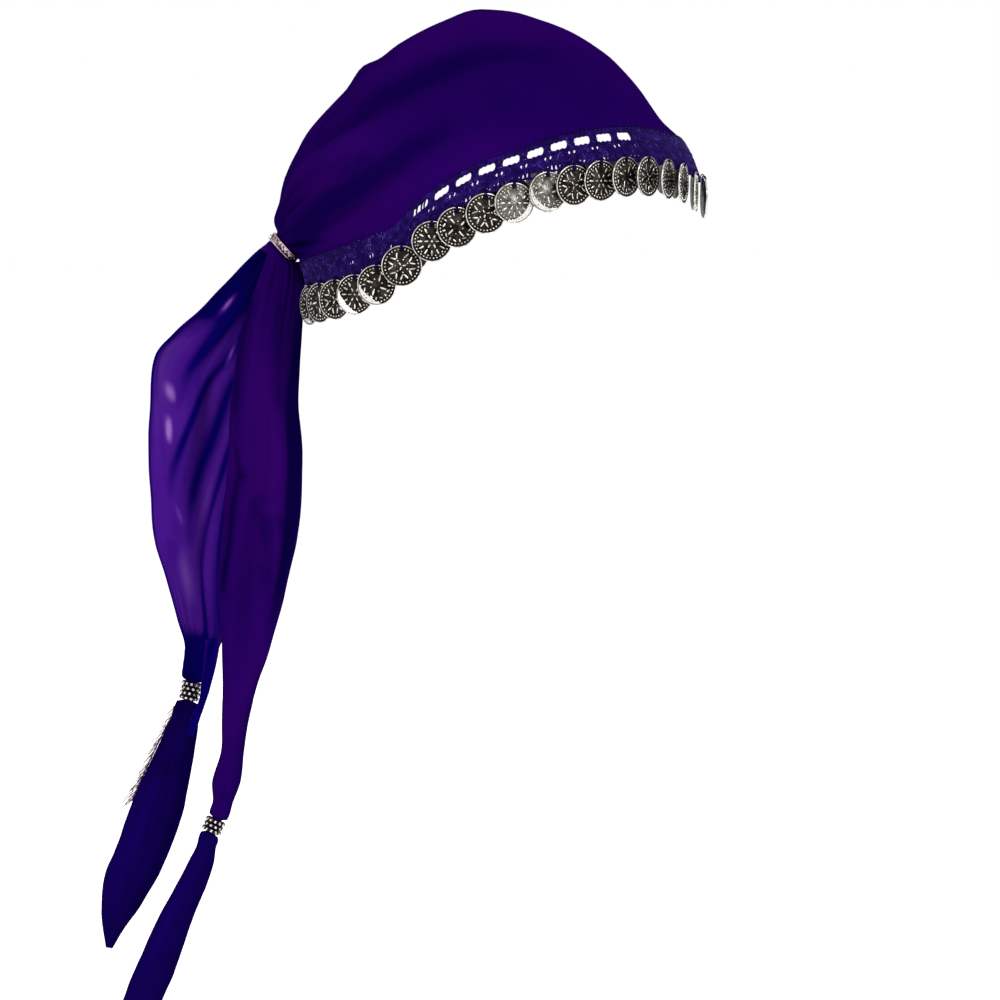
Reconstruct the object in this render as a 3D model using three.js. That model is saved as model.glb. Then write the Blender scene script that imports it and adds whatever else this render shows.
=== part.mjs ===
import * as THREE from "three";
import { mergeVertices } from "three/addons/utils/BufferGeometryUtils.js";

// A gathered coin headscarf, in millimetres, in the form it has on a head.
// X points ahead of the wearer, Y to the wearer's left and Z up.
// The origin is on the inner face of the crown, at its top, where the head holds it.

const clothThickness = 1.2;
const crochetThickness = 1.6;
const seamGap = 0.3;
const curvedSeamGap = 0.6;

const coinDiameter = 18.8;
const coinThickness = 0.8;
const coinHoleDiameter = 1.8;
const coinHoleInset = 1.9;
const coinSides = 16;
const coinHoleSides = 6;
const coinSpan = 2;
const coinGap = 0.46;
const leftDrift = { turn: 1, lap: 0.3, yaw: 0.7 };

const ringInnerRadius = 7.5;
const ringOuterRadius = 8.7;
const ringWidth = 3.9;
const ringChamfer = 0.4;
const ringSegments = 24;
const cuffSegments = 14;

const cuffInnerRadius = 2.7;
const cuffOuterRadius = 5;
const cuffRowHeight = 2.3;
const cuffGroove = 0.6;

// The crown is a rounded form about this centre, as wide as the head and hair in it.
const headCentre = new THREE.Vector3(0, 0, -110);
const headHalfWidth = 79;
const headRoundness = 2.4;

// The crown's inner face seen from the side: the angle up from straight ahead,
// and how far the cloth lies from the centre there.
const sideOutline = [
  { angle: -20, reach: 103 },
  { angle: 0, reach: 105.5 },
  { angle: 17, reach: 107.5 },
  { angle: 26, reach: 107 },
  { angle: 34, reach: 103 },
  { angle: 44, reach: 104 },
  { angle: 56, reach: 106.8 },
  { angle: 75, reach: 108.8 },
  { angle: 90, reach: 110 },
  { angle: 100, reach: 105.6 },
  { angle: 112, reach: 100.8 },
  { angle: 118, reach: 98.6 },
  { angle: 124, reach: 99.6 },
  { angle: 132, reach: 95.4 },
  { angle: 150, reach: 95.8 },
  { angle: 165, reach: 94.8 },
  { angle: 177, reach: 92.5 },
  { angle: 187, reach: 84.5 },
  { angle: 195, reach: 84 },
  { angle: 215, reach: 88 },
  { angle: 270, reach: 96 },
  { angle: 340, reach: 103 },
];

// The crochet band by the turn from the forehead to the nape, in degrees: its top and low edges.
const bandEdges = [
  { turn: 0, top: -62, low: -82 },
  { turn: 12, top: -59.5, low: -79 },
  { turn: 30, top: -55, low: -72.5 },
  { turn: 45, top: -55, low: -70.5 },
  { turn: 60, top: -58, low: -73.5 },
  { turn: 75, top: -64, low: -80 },
  { turn: 90, top: -71, low: -87 },
  { turn: 100, top: -78, low: -95 },
  { turn: 110, top: -88, low: -106.5 },
  { turn: 118, top: -100, low: -116.5 },
  { turn: 128, top: -106.5, low: -122.5 },
  { turn: 145, top: -113.5, low: -127.5 },
  { turn: 162, top: -118, low: -130 },
  { turn: 180, top: -120.5, low: -130.5 },
];

const crochetRepeats = 24;
const firstSlot = 5;
const lastSlot = 14;
const postShare = 0.28;
const railHeight = 2.1;
const slotHeight = 3.9;
const scallopDepth = 1.3;

// The cinch ring sits low at the back. Its axis points back and down, along the gathered cloth.
const cinchCentre = new THREE.Vector3(-93.3, 0, -112.1);
const cinchAxis = new THREE.Vector3(-0.74, 0, -0.67).normalize();
const cinchUp = new THREE.Vector3(-0.67, 0, 0.74).normalize();
const leftward = new THREE.Vector3(0, 1, 0);
const neckRadius = ringInnerRadius - seamGap - clothThickness / 2;

const crownSpokes = 60;
const crownRows = 16;
const crownRowGrowth = 1.15;

// The crown's neck inside the ring, its lip above the ring and the flare out to the head.
const crownNeck = { lipAlong: 1.6, lipOut: 1.2, flareOut: 2.4, flareAlong: 1.9, flareSlope: 0.2 };
const flareStart = neckRadius + crownNeck.flareOut;
const settleStart = neckRadius + 1.4;
const settleReach = 14;

// Pleats spread from the ring and fade before the band. Their height grows with the square of their width.
const crownPleats = { count: 15, limit: 1.7, heightDivisor: 40, reach: 150, bandEase: 30 };
const pleatDrift = { amount: 0.9, waves: 3 };
const foldEase = 24;

// The crown's large folds, as troughs (below zero) and puffs (above zero) in its wall. Each runs from
// one place to another, both given as a turn about the cinch from its top and an angle away from it.
const crownFolds = [
  { turn: -39, away: 34, endTurn: -28, endAway: 116, depth: -3.4, width: 7 },
  { turn: -25, away: 42, endTurn: -20, endAway: 86, depth: 2.6, width: 8 },
  { turn: -86, away: 22, endTurn: -51, endAway: 82, depth: -3, width: 6 },
  { turn: -60, away: 16, endTurn: -41, endAway: 92, depth: 2, width: 8 },
  { turn: -108, away: 16, endTurn: -68, endAway: 58, depth: 1.5, width: 6 },
  { turn: 34, away: 30, endTurn: 24, endAway: 108, depth: -3, width: 7 },
  { turn: 20, away: 46, endTurn: 15, endAway: 90, depth: 2.2, width: 8 },
  { turn: 80, away: 20, endTurn: 54, endAway: 88, depth: -3.2, width: 6 },
  { turn: 56, away: 18, endTurn: 40, endAway: 86, depth: 1.8, width: 8 },
  { turn: 104, away: 16, endTurn: 72, endAway: 54, depth: 1.5, width: 6 },
  { turn: 2, away: 20, endTurn: -3, endAway: 62, depth: -1.6, width: 6 },
];

// The right side's coins from the nape to the forehead: where each hangs, how far its top laps over the
// band's low edge, and how far it is turned towards the front. The left side's drift from these.
const coinRows = [
  { turn: 157, lap: 1, yaw: 12 },
  { turn: 148.5, lap: 1.2, yaw: 13 },
  { turn: 140, lap: 1.2, yaw: 12 },
  { turn: 131.5, lap: 1.4, yaw: 13 },
  { turn: 123.5, lap: 2.6, yaw: 12 },
  { turn: 115, lap: 4.4, yaw: 12 },
  { turn: 105.5, lap: 3.8, yaw: 11 },
  { turn: 97.5, lap: 1.8, yaw: 14 },
  { turn: 88, lap: 1.4, yaw: 12 },
  { turn: 78.5, lap: 1.9, yaw: 12 },
  { turn: 67.5, lap: 1.9, yaw: 14 },
  { turn: 59, lap: 1.6, yaw: 16 },
  { turn: 50.5, lap: 1.5, yaw: 17 },
  { turn: 43, lap: 2.6, yaw: 20 },
  { turn: 36.5, lap: 3.3, yaw: 20 },
  { turn: 30, lap: 3.4, yaw: 23 },
  { turn: 24, lap: 3.2, yaw: 18 },
  { turn: 16.5, lap: 1.8, yaw: 14 },
  { turn: 7, lap: 1.4, yaw: 13 },
];

// The two tails below the ring: the back and front edges, how much of a turn the section bends
// through, how far it swells, and how far it stands from the middle of the head.
const rightTailRows = [
  { backX: -101.5, backZ: -119.6, frontX: -87.8, frontZ: -123.4, bend: 180, swell: 8, away: 0.2 },
  { backX: -105, backZ: -128, frontX: -85.8, frontZ: -130.6, bend: 178, swell: 10, away: 0.3 },
  { backX: -108.6, backZ: -138, frontX: -85.1, frontZ: -140.8, bend: 176, swell: 12, away: 0.6 },
  { backX: -112.6, backZ: -150, frontX: -85.2, frontZ: -154, bend: 168, swell: 14, away: 1.8 },
  { backX: -117.6, backZ: -184, frontX: -86.6, frontZ: -184, bend: 150, swell: 14, away: 6 },
  { backX: -119, backZ: -213, frontX: -84.6, frontZ: -213, bend: 140, swell: 12, away: 8 },
  { backX: -122.5, backZ: -251, frontX: -87.4, frontZ: -251, bend: 140, swell: 10, away: 9 },
  { backX: -124, backZ: -270, frontX: -91.8, frontZ: -270, bend: 140, swell: 9, away: 9 },
  { backX: -122, backZ: -301, frontX: -99.8, frontZ: -301, bend: 150, swell: 7, away: 10 },
  { backX: -121.6, backZ: -318, frontX: -106, frontZ: -318, bend: 160, swell: 5.5, away: 10.5 },
  { backX: -122, backZ: -337, frontX: -110.8, frontZ: -337, bend: 180, swell: 4, away: 11.5 },
  { backX: -122.5, backZ: -351, frontX: -112.8, frontZ: -351, bend: 200, swell: 3.6, away: 12 },
  { backX: -126.6, backZ: -365, frontX: -114.4, frontZ: -365, bend: 210, swell: 4.6, away: 12 },
  { backX: -126.4, backZ: -374.6, frontX: -118.2, frontZ: -375.4, bend: 250, swell: 3, away: 12.4 },
  { backX: -127.6, backZ: -379.4, frontX: -121.2, frontZ: -381.4, bend: 240, swell: 2.6, away: 12.5 },
];

const leftTailRows = [
  { backX: -106.5, backZ: -115, frontX: -91.5, frontZ: -126.5, bend: 180, swell: 9, away: 0.2 },
  { backX: -121, backZ: -129.5, frontX: -95, frontZ: -146.5, bend: 176, swell: 13, away: 0.8 },
  { backX: -132, backZ: -141, frontX: -99, frontZ: -161, bend: 168, swell: 16, away: 2.5 },
  { backX: -144.6, backZ: -152.6, frontX: -103.6, frontZ: -176, bend: 160, swell: 18, away: 5 },
  { backX: -154.4, backZ: -163.5, frontX: -107, frontZ: -189, bend: 150, swell: 18, away: 8 },
  { backX: -156.6, backZ: -184.5, frontX: -110.5, frontZ: -208, bend: 140, swell: 16, away: 10 },
  { backX: -158, backZ: -208, frontX: -114.3, frontZ: -232, bend: 135, swell: 14, away: 12 },
  { backX: -157, backZ: -232, frontX: -118, frontZ: -251, bend: 135, swell: 12, away: 13 },
  { backX: -155, backZ: -253.6, frontX: -120.8, frontZ: -270, bend: 140, swell: 10, away: 14 },
  { backX: -149.5, backZ: -272, frontX: -122.6, frontZ: -284.5, bend: 150, swell: 8, away: 15 },
  { backX: -144.6, backZ: -289.5, frontX: -123.4, frontZ: -297.5, bend: 160, swell: 6, away: 16 },
  { backX: -141, backZ: -302, frontX: -127, frontZ: -307, bend: 180, swell: 4.4, away: 16.5 },
  { backX: -142, backZ: -313.6, frontX: -132.4, frontZ: -315.2, bend: 230, swell: 3.4, away: 17 },
  { backX: -142, backZ: -317, frontX: -133.2, frontZ: -319, bend: 220, swell: 3, away: 17.2 },
];

// The tail ends below the cuffs, down to their points.
const rightEndRows = [
  { backX: -131.7, backZ: -391.4, frontX: -125.6, frontZ: -393.4, bend: 230, swell: 2.5, away: 12.6 },
  { backX: -134.4, backZ: -396.6, frontX: -126.4, frontZ: -397.6, bend: 210, swell: 2.8, away: 12.7 },
  { backX: -138, backZ: -403.5, frontX: -127.4, frontZ: -404.5, bend: 170, swell: 3, away: 13 },
  { backX: -143, backZ: -413, frontX: -130.5, frontZ: -414, bend: 140, swell: 3.4, away: 13 },
  { backX: -153.3, backZ: -432, frontX: -138, frontZ: -433, bend: 130, swell: 4, away: 12.5 },
  { backX: -162, backZ: -451, frontX: -144.8, frontZ: -452.5, bend: 130, swell: 4, away: 12 },
  { backX: -168.5, backZ: -467, frontX: -151, frontZ: -468, bend: 130, swell: 3.4, away: 12 },
  { backX: -172.4, backZ: -480, frontX: -159, frontZ: -483, bend: 130, swell: 2.4, away: 12 },
  { backX: -170.5, backZ: -491, frontX: -167.5, frontZ: -491.5, bend: 130, swell: 0.8, away: 12.5 },
];

const leftEndRows = [
  { backX: -144.8, backZ: -331.6, frontX: -136.4, frontZ: -333.2, bend: 220, swell: 2.6, away: 18 },
  { backX: -147, backZ: -337, frontX: -136.2, frontZ: -338.2, bend: 190, swell: 3, away: 18.5 },
  { backX: -150, backZ: -343, frontX: -136.2, frontZ: -344, bend: 160, swell: 3.4, away: 18.6 },
  { backX: -156.8, backZ: -357, frontX: -138.4, frontZ: -357, bend: 140, swell: 5, away: 18 },
  { backX: -165.6, backZ: -376.5, frontX: -142.4, frontZ: -380.5, bend: 130, swell: 6, away: 17 },
  { backX: -170.4, backZ: -389, frontX: -146.8, frontZ: -394, bend: 130, swell: 6, away: 16.5 },
  { backX: -175.2, backZ: -402.5, frontX: -153.4, frontZ: -410, bend: 130, swell: 5.4, away: 16 },
  { backX: -180.4, backZ: -416, frontX: -162.6, frontZ: -427, bend: 130, swell: 4, away: 16 },
  { backX: -181.5, backZ: -433, frontX: -172.5, frontZ: -441, bend: 130, swell: 2, away: 16 },
  { backX: -179.5, backZ: -449, frontX: -177.5, frontZ: -449.5, bend: 130, swell: 0.6, away: 16 },
];

// The loose edge of the left tail, which passes its cuff on the outside.
const looseEdgeRows = [
  { backX: -131, backZ: -300, frontX: -124.6, frontZ: -299, bend: 90, swell: 0.8, away: 13.2 },
  { backX: -132, backZ: -312, frontX: -126.6, frontZ: -311, bend: 90, swell: 0.8, away: 13.2 },
  { backX: -133.2, backZ: -321, frontX: -129, frontZ: -320.5, bend: 90, swell: 0.8, away: 14 },
  { backX: -134.4, backZ: -329.5, frontX: -131.4, frontZ: -328.6, bend: 90, swell: 0.7, away: 14.4 },
  { backX: -138.2, backZ: -337.4, frontX: -134.2, frontZ: -336.6, bend: 90, swell: 0.6, away: 14.8 },
  { backX: -139.6, backZ: -344, frontX: -136.6, frontZ: -343.4, bend: 90, swell: 0.4, away: 15 },
  { backX: -139.8, backZ: -347, frontX: -138.4, frontZ: -346.8, bend: 90, swell: 0.3, away: 15.2 },
];

// Folds in the tails: where each starts and ends across the cloth (0 is the back edge) and down it
// (0 is the top), and how deep and wide it is. Above zero stands out.
const rightTailFolds = [
  { across: 0.3, down: 0.04, endAcross: 0.2, endDown: 0.95, depth: 2.2, width: 4.2 },
  { across: 0.48, down: 0.04, endAcross: 0.38, endDown: 0.8, depth: -3, width: 4.4 },
  { across: 0.62, down: 0.06, endAcross: 0.6, endDown: 0.92, depth: 3, width: 5.2 },
  { across: 0.8, down: 0.08, endAcross: 0.84, endDown: 0.78, depth: -2.8, width: 4 },
  { across: 0.12, down: 0.42, endAcross: 0.3, endDown: 0.7, depth: -1.8, width: 4 },
];

const leftTailFolds = [
  { across: 0.2, down: 0.03, endAcross: 0.1, endDown: 0.6, depth: 2.4, width: 4.4 },
  { across: 0.36, down: 0.04, endAcross: 0.42, endDown: 0.5, depth: -3, width: 4.6 },
  { across: 0.5, down: 0.05, endAcross: 0.62, endDown: 0.92, depth: 2.8, width: 5 },
  { across: 0.66, down: 0.06, endAcross: 0.24, endDown: 0.76, depth: -2.6, width: 4.2 },
  { across: 0.82, down: 0.08, endAcross: 0.86, endDown: 0.84, depth: -2.6, width: 4 },
];

const endFolds = [
  { across: 0.25, down: 0.02, endAcross: 0.3, endDown: 0.9, depth: 1.4, width: 2.2 },
  { across: 0.55, down: 0.04, endAcross: 0.5, endDown: 0.95, depth: -1.6, width: 2.4 },
  { across: 0.8, down: 0.02, endAcross: 0.78, endDown: 0.8, depth: 1.3, width: 2.2 },
];

const hemReach = 0.4;
const tailColumns = 14;
const tailStep = 0.05;
const endColumns = 8;
const endStep = 0.1;
const looseEdgeColumns = 4;
const looseEdgeStep = 0.15;

// A tail's folds fade where it is narrower than this, and its fullness spreads them.
const foldRoom = { from: 9, span: 14 };
const foldSpread = 1.3;

// Beside the ring and the cuffs the gathered cloth runs straight for a little way.
const straightLength = 0.8;

const fringeStrands = 30;
const fringeFrom = 0.075;
const fringeTo = 0.44;
const fringeStripWidth = 1;
const strandLength = 9;
const strandFall = { degrees: 42, lengthSpread: 0.2 };

// The cuffs sit where each tail is gathered, with their axes along the cloth.
const leftCuff = { centre: new THREE.Vector3(-139, 17.6, -325), lean: -13, rows: 4 };
const rightCuff = { centre: new THREE.Vector3(-126.7, -12.6, -386.4), lean: -25, rows: 3 };

const colours = {
  cloth: { color: 0x2a0a66, roughness: 0.62, metalness: 0 },
  sheerCloth: { color: 0x3c1a86, roughness: 0.5, metalness: 0 },
  crochet: { color: 0x25085c, roughness: 0.85, metalness: 0 },
  silver: { color: 0x8b8784, roughness: 0.38, metalness: 1 },
  beads: { color: 0xb0a9ab, roughness: 0.3, metalness: 1 },
  ring: { color: 0xc0a8ae, roughness: 0.35, metalness: 1 },
  fringe: { color: 0xb89aa6, roughness: 0.4, metalness: 0.8 },
};

const toRadians = THREE.MathUtils.degToRad;
const toDegrees = THREE.MathUtils.radToDeg;
const sine = (degrees) => Math.sin(toRadians(degrees));
const cosine = (degrees) => Math.cos(toRadians(degrees));
const clamp = THREE.MathUtils.clamp;
const mix = THREE.MathUtils.lerp;
const smooth = (value) => THREE.MathUtils.smoothstep(value, 0, 1);

// Reads one column of a table, with a smooth curve through its rows.
function readTable(rows, key, column, at) {
  const last = rows.length - 1;
  let index = 0;
  while (index < last - 1 && rows[index + 1][key] < at) {
    index += 1;
  }
  const before = rows[Math.max(index - 1, 0)];
  const low = rows[index];
  const high = rows[index + 1];
  const after = rows[Math.min(index + 2, last)];
  const span = high[key] - low[key];
  const part = clamp((at - low[key]) / span, 0, 1);
  const startSlope = ((high[column] - before[column]) / (high[key] - before[key])) * span;
  const endSlope = ((after[column] - low[column]) / (after[key] - low[key])) * span;
  const square = part * part;
  const cube = square * part;
  return (
    low[column] * (2 * cube - 3 * square + 1) +
    startSlope * (cube - 2 * square + part) +
    high[column] * (3 * square - 2 * cube) +
    endSlope * (cube - square)
  );
}

// A closed wall on both sides of a grid of points, open at its own edges and at any cell left out.
function wallGeometry(grid, thickness, wraps = false, isCut = () => false) {
  const rows = grid.length;
  const columns = grid[0].length;
  const cellColumns = wraps ? columns : columns - 1;
  const isSolid = (row, column) => {
    const place = wraps ? (column + columns) % columns : column;
    return row >= 0 && row < rows - 1 && place >= 0 && place < cellColumns && !isCut(row, place);
  };
  const index = (row, column) => row * columns + (column % columns);
  const normals = grid.map((line) => line.map(() => new THREE.Vector3()));
  for (let row = 0; row < rows - 1; row += 1) {
    for (let column = 0; column < cellColumns; column += 1) {
      const next = (column + 1) % columns;
      const corners = [grid[row][column], grid[row][next], grid[row + 1][next], grid[row + 1][column]];
      const across = corners[2].clone().sub(corners[0]);
      const facing = corners[3].clone().sub(corners[1]).cross(across).negate().normalize();
      for (const at of [column, next]) {
        normals[row][at].add(facing);
        normals[row + 1][at].add(facing);
      }
    }
  }
  const count = rows * columns;
  const positions = new Float32Array(count * 6);
  grid.forEach((line, row) => {
    line.forEach((point, column) => {
      const offset = normals[row][column].normalize().multiplyScalar(thickness / 2);
      point.clone().add(offset).toArray(positions, index(row, column) * 3);
      point.clone().sub(offset).toArray(positions, (count + index(row, column)) * 3);
    });
  });
  const faces = [];
  const closeEdge = (from, to) => {
    faces.push(to, from, count + from, to, count + from, count + to);
  };
  for (let row = 0; row < rows - 1; row += 1) {
    for (let column = 0; column < cellColumns; column += 1) {
      if (!isSolid(row, column)) {
        continue;
      }
      const a = index(row, column);
      const b = index(row, column + 1);
      const c = index(row + 1, column + 1);
      const d = index(row + 1, column);
      faces.push(a, b, c, a, c, d);
      faces.push(count + a, count + c, count + b, count + a, count + d, count + c);
      if (!isSolid(row - 1, column)) closeEdge(a, b);
      if (!isSolid(row, column + 1)) closeEdge(b, c);
      if (!isSolid(row + 1, column)) closeEdge(c, d);
      if (!isSolid(row, column - 1)) closeEdge(d, a);
    }
  }
  return solidGeometry(positions, faces);
}

// An indexed solid without the points that no face uses.
function solidGeometry(positions, faces) {
  const loose = new THREE.BufferGeometry();
  loose.setAttribute("position", new THREE.BufferAttribute(Float32Array.from(positions), 3));
  loose.setIndex(faces);
  const solid = mergeVertices(loose.toNonIndexed(), 1e-5);
  solid.computeVertexNormals();
  return solid;
}

function makePiece(name, geometry, look) {
  const piece = new THREE.Mesh(geometry, new THREE.MeshStandardMaterial(look));
  piece.name = name;
  return piece;
}

// The middle of the cloth in a direction from the head's centre, lifted by some amount.
function headPoint(direction, lift = 0) {
  const sideways = Math.asin(clamp(direction.y, -1, 1));
  const angle = toDegrees(Math.atan2(direction.z, direction.x));
  const wrapped = angle < sideOutline[0].angle ? angle + 360 : angle;
  const along = readTable(sideOutline, "angle", "reach", wrapped);
  const reach =
    ((Math.cos(sideways) / along) ** headRoundness +
      (Math.abs(Math.sin(sideways)) / headHalfWidth) ** headRoundness) **
    (-1 / headRoundness);
  return direction.clone().multiplyScalar(reach + clothThickness / 2 + lift).add(headCentre);
}

// The direction in which the crown's surface has a height, at a turn from straight ahead.
function directionAtHeight(turn, height) {
  let low = -60;
  let high = 80;
  const direction = new THREE.Vector3();
  for (let step = 0; step < 30; step += 1) {
    const rise = (low + high) / 2;
    direction.set(cosine(turn) * cosine(rise), sine(turn) * cosine(rise), sine(rise));
    if (headPoint(direction).z > height) {
      high = rise;
    } else {
      low = rise;
    }
  }
  return direction;
}

const bandTop = (turn) => readTable(bandEdges, "turn", "top", Math.abs(turn));
const bandLow = (turn) => readTable(bandEdges, "turn", "low", Math.abs(turn));
const bandPoint = (turn, height) => headPoint(directionAtHeight(turn, height));

// Lengths along one side of the band's middle line, from the front to the nape.
function measureBand() {
  const steps = 360;
  const middleAt = (turn) => bandPoint(turn, (bandTop(turn) + bandLow(turn)) / 2);
  const marks = [{ turn: 0, length: 0 }];
  for (let step = 1; step <= steps; step += 1) {
    const turn = (180 * step) / steps;
    const length = marks[step - 1].length + middleAt(turn).distanceTo(middleAt(marks[step - 1].turn));
    marks.push({ turn, length });
  }
  return marks;
}

const bandMarks = measureBand();
const bandLength = bandMarks[bandMarks.length - 1].length;
const bandTurn = (part) => readTable(bandMarks, "length", "turn", part * bandLength);

function foldHeight(folds, turn, away) {
  let height = 0;
  for (const fold of folds) {
    const part = (away - fold.away) / (fold.endAway - fold.away);
    if (part <= 0 || part >= 1) {
      continue;
    }
    const middle = mix(fold.turn, fold.endTurn, part);
    const distance = toRadians(turn - middle) * sine(away) * headHalfWidth;
    height += fold.depth * Math.exp(-((distance / fold.width) ** 2)) * Math.sin(Math.PI * part) ** 0.7;
  }
  return height;
}

// One line of points of the crown, from the end of its neck out to the band.
function crownSpoke(share) {
  const side = share > 0.5 ? -1 : 1;
  const halfShare = Math.min(share, 1 - share) * 2;
  const start = cinchCentre.clone().sub(headCentre).normalize();
  const edgeTurn = bandTurn(halfShare) * side;
  const edge = directionAtHeight(edgeTurn, bandTop(edgeTurn) + curvedSeamGap);
  const up = new THREE.Vector3(-start.z, 0, start.x).multiplyScalar(-1);
  const fullAway = start.angleTo(edge);
  const leaving = edge.clone().addScaledVector(start, -edge.dot(start)).normalize();
  const leavingTurn = halfShare === 1 ? 180 : toDegrees(Math.atan2(leaving.y, leaving.dot(up)));
  const neckTurn = mix(180 * halfShare * side, leavingTurn, 0.5);
  const outward = cinchUp.clone().multiplyScalar(cosine(neckTurn));
  outward.addScaledVector(leftward, sine(neckTurn));
  const neckPoint = (along, radius) =>
    cinchCentre.clone().addScaledVector(cinchAxis, along).addScaledVector(outward, radius);
  const reach = cinchCentre.distanceTo(headCentre);
  const fullLength = fullAway * reach;
  const points = [
    neckPoint(ringWidth / 2 + seamGap, neckRadius),
    neckPoint(-ringWidth / 2 - seamGap, neckRadius),
    neckPoint(-ringWidth / 2 - crownNeck.lipAlong, neckRadius + crownNeck.lipOut),
  ];
  for (let row = 0; row <= crownRows - 3; row += 1) {
    const part = (row / (crownRows - 3)) ** crownRowGrowth;
    const length = mix(flareStart, fullLength, part);
    const away = length / reach;
    const direction = start.clone().multiplyScalar(Math.cos(away)).addScaledVector(leaving, Math.sin(away));
    const pitch = (2 * Math.PI * Math.max(length, neckRadius)) / crownPleats.count;
    const toBand = fullLength - length;
    const fade = (1 - smooth(length / crownPleats.reach)) * smooth(toBand / crownPleats.bandEase);
    const pleat = Math.min(pitch ** 2 / crownPleats.heightDivisor, crownPleats.limit) * fade;
    const drift = pleatDrift.amount * Math.sin(2 * Math.PI * pleatDrift.waves * share);
    const wave = Math.cos(2 * Math.PI * crownPleats.count * share + drift);
    const folds = foldHeight(crownFolds, leavingTurn, toDegrees(away));
    const surface = headPoint(direction, pleat * wave + folds * smooth(toBand / foldEase));
    const settled = smooth((length - settleStart) / Math.min(settleReach, fullLength - settleStart));
    const drop = crownNeck.flareAlong + crownNeck.flareSlope * (length - flareStart);
    const flare = neckPoint(-ringWidth / 2 - drop, length);
    points.push(flare.lerp(surface, settled));
  }
  return points;
}

function makeCrown() {
  const spokes = [];
  for (let spoke = 0; spoke < crownSpokes; spoke += 1) {
    spokes.push(crownSpoke(spoke / crownSpokes));
  }
  const grid = spokes[0].map((_, row) => spokes.map((points) => points[row]));
  return makePiece("crown", wallGeometry(grid, clothThickness, true), colours.cloth);
}

// Half of the crochet band, with the open ladder along its top and scallops along its low edge.
function makeBand(name, side) {
  const parts = [];
  for (let repeat = 0; repeat < crochetRepeats; repeat += 1) {
    parts.push(repeat / crochetRepeats);
    parts.push((repeat + postShare) / crochetRepeats);
    parts.push((repeat + (1 + postShare) / 2) / crochetRepeats);
  }
  parts.push(1);
  const gapPart = seamGap / 2 / bandLength;
  const turns = parts.map((part) => bandTurn(clamp(part, gapPart, 1 - gapPart)));
  const columns = turns.map((turn, column) => {
    const top = bandTop(turn);
    const low = bandLow(turn) + (column % 3 === 0 ? scallopDepth : 0);
    const slotTop = top - railHeight;
    const slotLow = slotTop - slotHeight;
    const heights = [top, slotTop, slotLow, (slotLow + low) / 2, low];
    return heights.map((height) => bandPoint(turn * side, height));
  });
  const grid = columns[0].map((_, row) => columns.map((points) => points[row]));
  const isSlot = (row, column) => {
    const repeat = Math.floor(column / 3);
    return row === 1 && column % 3 > 0 && repeat >= firstSlot && repeat <= lastSlot;
  };
  return makePiece(name, wallGeometry(grid, crochetThickness, false, isSlot), colours.crochet);
}

function coinGeometry() {
  const disc = new THREE.Shape();
  disc.absarc(0, 0, coinDiameter / 2, 0, 2 * Math.PI, false);
  const hole = new THREE.Path();
  hole.absarc(0, coinDiameter / 2 - coinHoleInset, coinHoleDiameter / 2, 0, 2 * Math.PI, true);
  const outline = new THREE.Shape(disc.getSpacedPoints(coinSides).slice(0, -1));
  outline.holes.push(new THREE.Path(hole.getSpacedPoints(coinHoleSides).slice(0, -1)));
  const geometry = new THREE.ExtrudeGeometry(outline, { depth: coinThickness, bevelEnabled: false });
  geometry.translate(0, 0, -coinThickness / 2);
  return geometry;
}

// How far out of the head's surface a coin must stand for its inner face to clear the band.
function coinStandOff(centre, ahead, outward, yaw) {
  let standOff = -coinDiameter;
  for (let step = 0; step < coinSides * 4; step += 1) {
    const angle = (90 * step) / coinSides;
    const across = (coinDiameter / 2) * cosine(angle);
    const point = centre.clone().addScaledVector(ahead, across * cosine(yaw));
    point.addScaledVector(outward, -across * sine(yaw));
    point.z += (coinDiameter / 2) * sine(angle);
    const turn = toDegrees(Math.atan2(point.y, point.x));
    if (point.z > bandLow(turn) + scallopDepth / 2) {
      const behind = bandPoint(turn, point.z);
      standOff = Math.max(standOff, behind.sub(point).dot(outward));
    }
  }
  return standOff + (crochetThickness + coinThickness) / 2 + coinGap;
}

// A coin hangs upright by its hole, over the low edge of the band.
function makeCoin(name, side, row, geometry) {
  const height = bandLow(row.turn) + row.lap - coinDiameter / 2;
  const front = bandPoint((row.turn - coinSpan) * side, height);
  const back = bandPoint((row.turn + coinSpan) * side, height);
  const ahead = front.clone().sub(back).normalize();
  const outward = new THREE.Vector3(-ahead.y, ahead.x, 0).multiplyScalar(side);
  const facing = outward.clone().multiplyScalar(cosine(row.yaw)).addScaledVector(ahead, sine(row.yaw));
  const centre = bandPoint(row.turn * side, height);
  const coin = makePiece(name, geometry, colours.silver);
  coin.position.copy(centre).addScaledVector(outward, coinStandOff(centre, ahead, outward, row.yaw));
  const upward = new THREE.Vector3(0, 0, 1);
  const basis = new THREE.Matrix4().makeBasis(upward.clone().cross(facing), upward, facing);
  coin.quaternion.setFromRotationMatrix(basis);
  return coin;
}

function makeCoins(sideName, side) {
  const geometry = coinGeometry();
  const group = new THREE.Group();
  const drift = side > 0 ? leftDrift : { turn: 0, lap: 0, yaw: 0 };
  coinRows.forEach((row, index) => {
    const place = {
      turn: row.turn + drift.turn * Math.sin(2.1 * index),
      lap: row.lap + drift.lap * Math.cos(1.7 * index),
      yaw: row.yaw + drift.yaw * Math.sin(1.3 * index),
    };
    const name = `coin_${sideName}_${String(index + 1).padStart(2, "0")}`;
    group.add(makeCoin(name, side, place, geometry));
  });
  return group;
}

// A ring of cloth, metal or beads turned about its axis from a closed outline of radius and height.
function turnedRing(outline, segments) {
  const closed = [...outline, outline[0]].map(([radius, height]) => new THREE.Vector2(radius, height));
  return new THREE.LatheGeometry(closed, segments);
}

function layAlong(piece, centre, axis) {
  piece.position.copy(centre);
  piece.quaternion.setFromUnitVectors(new THREE.Vector3(0, 1, 0), axis);
  return piece;
}

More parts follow.
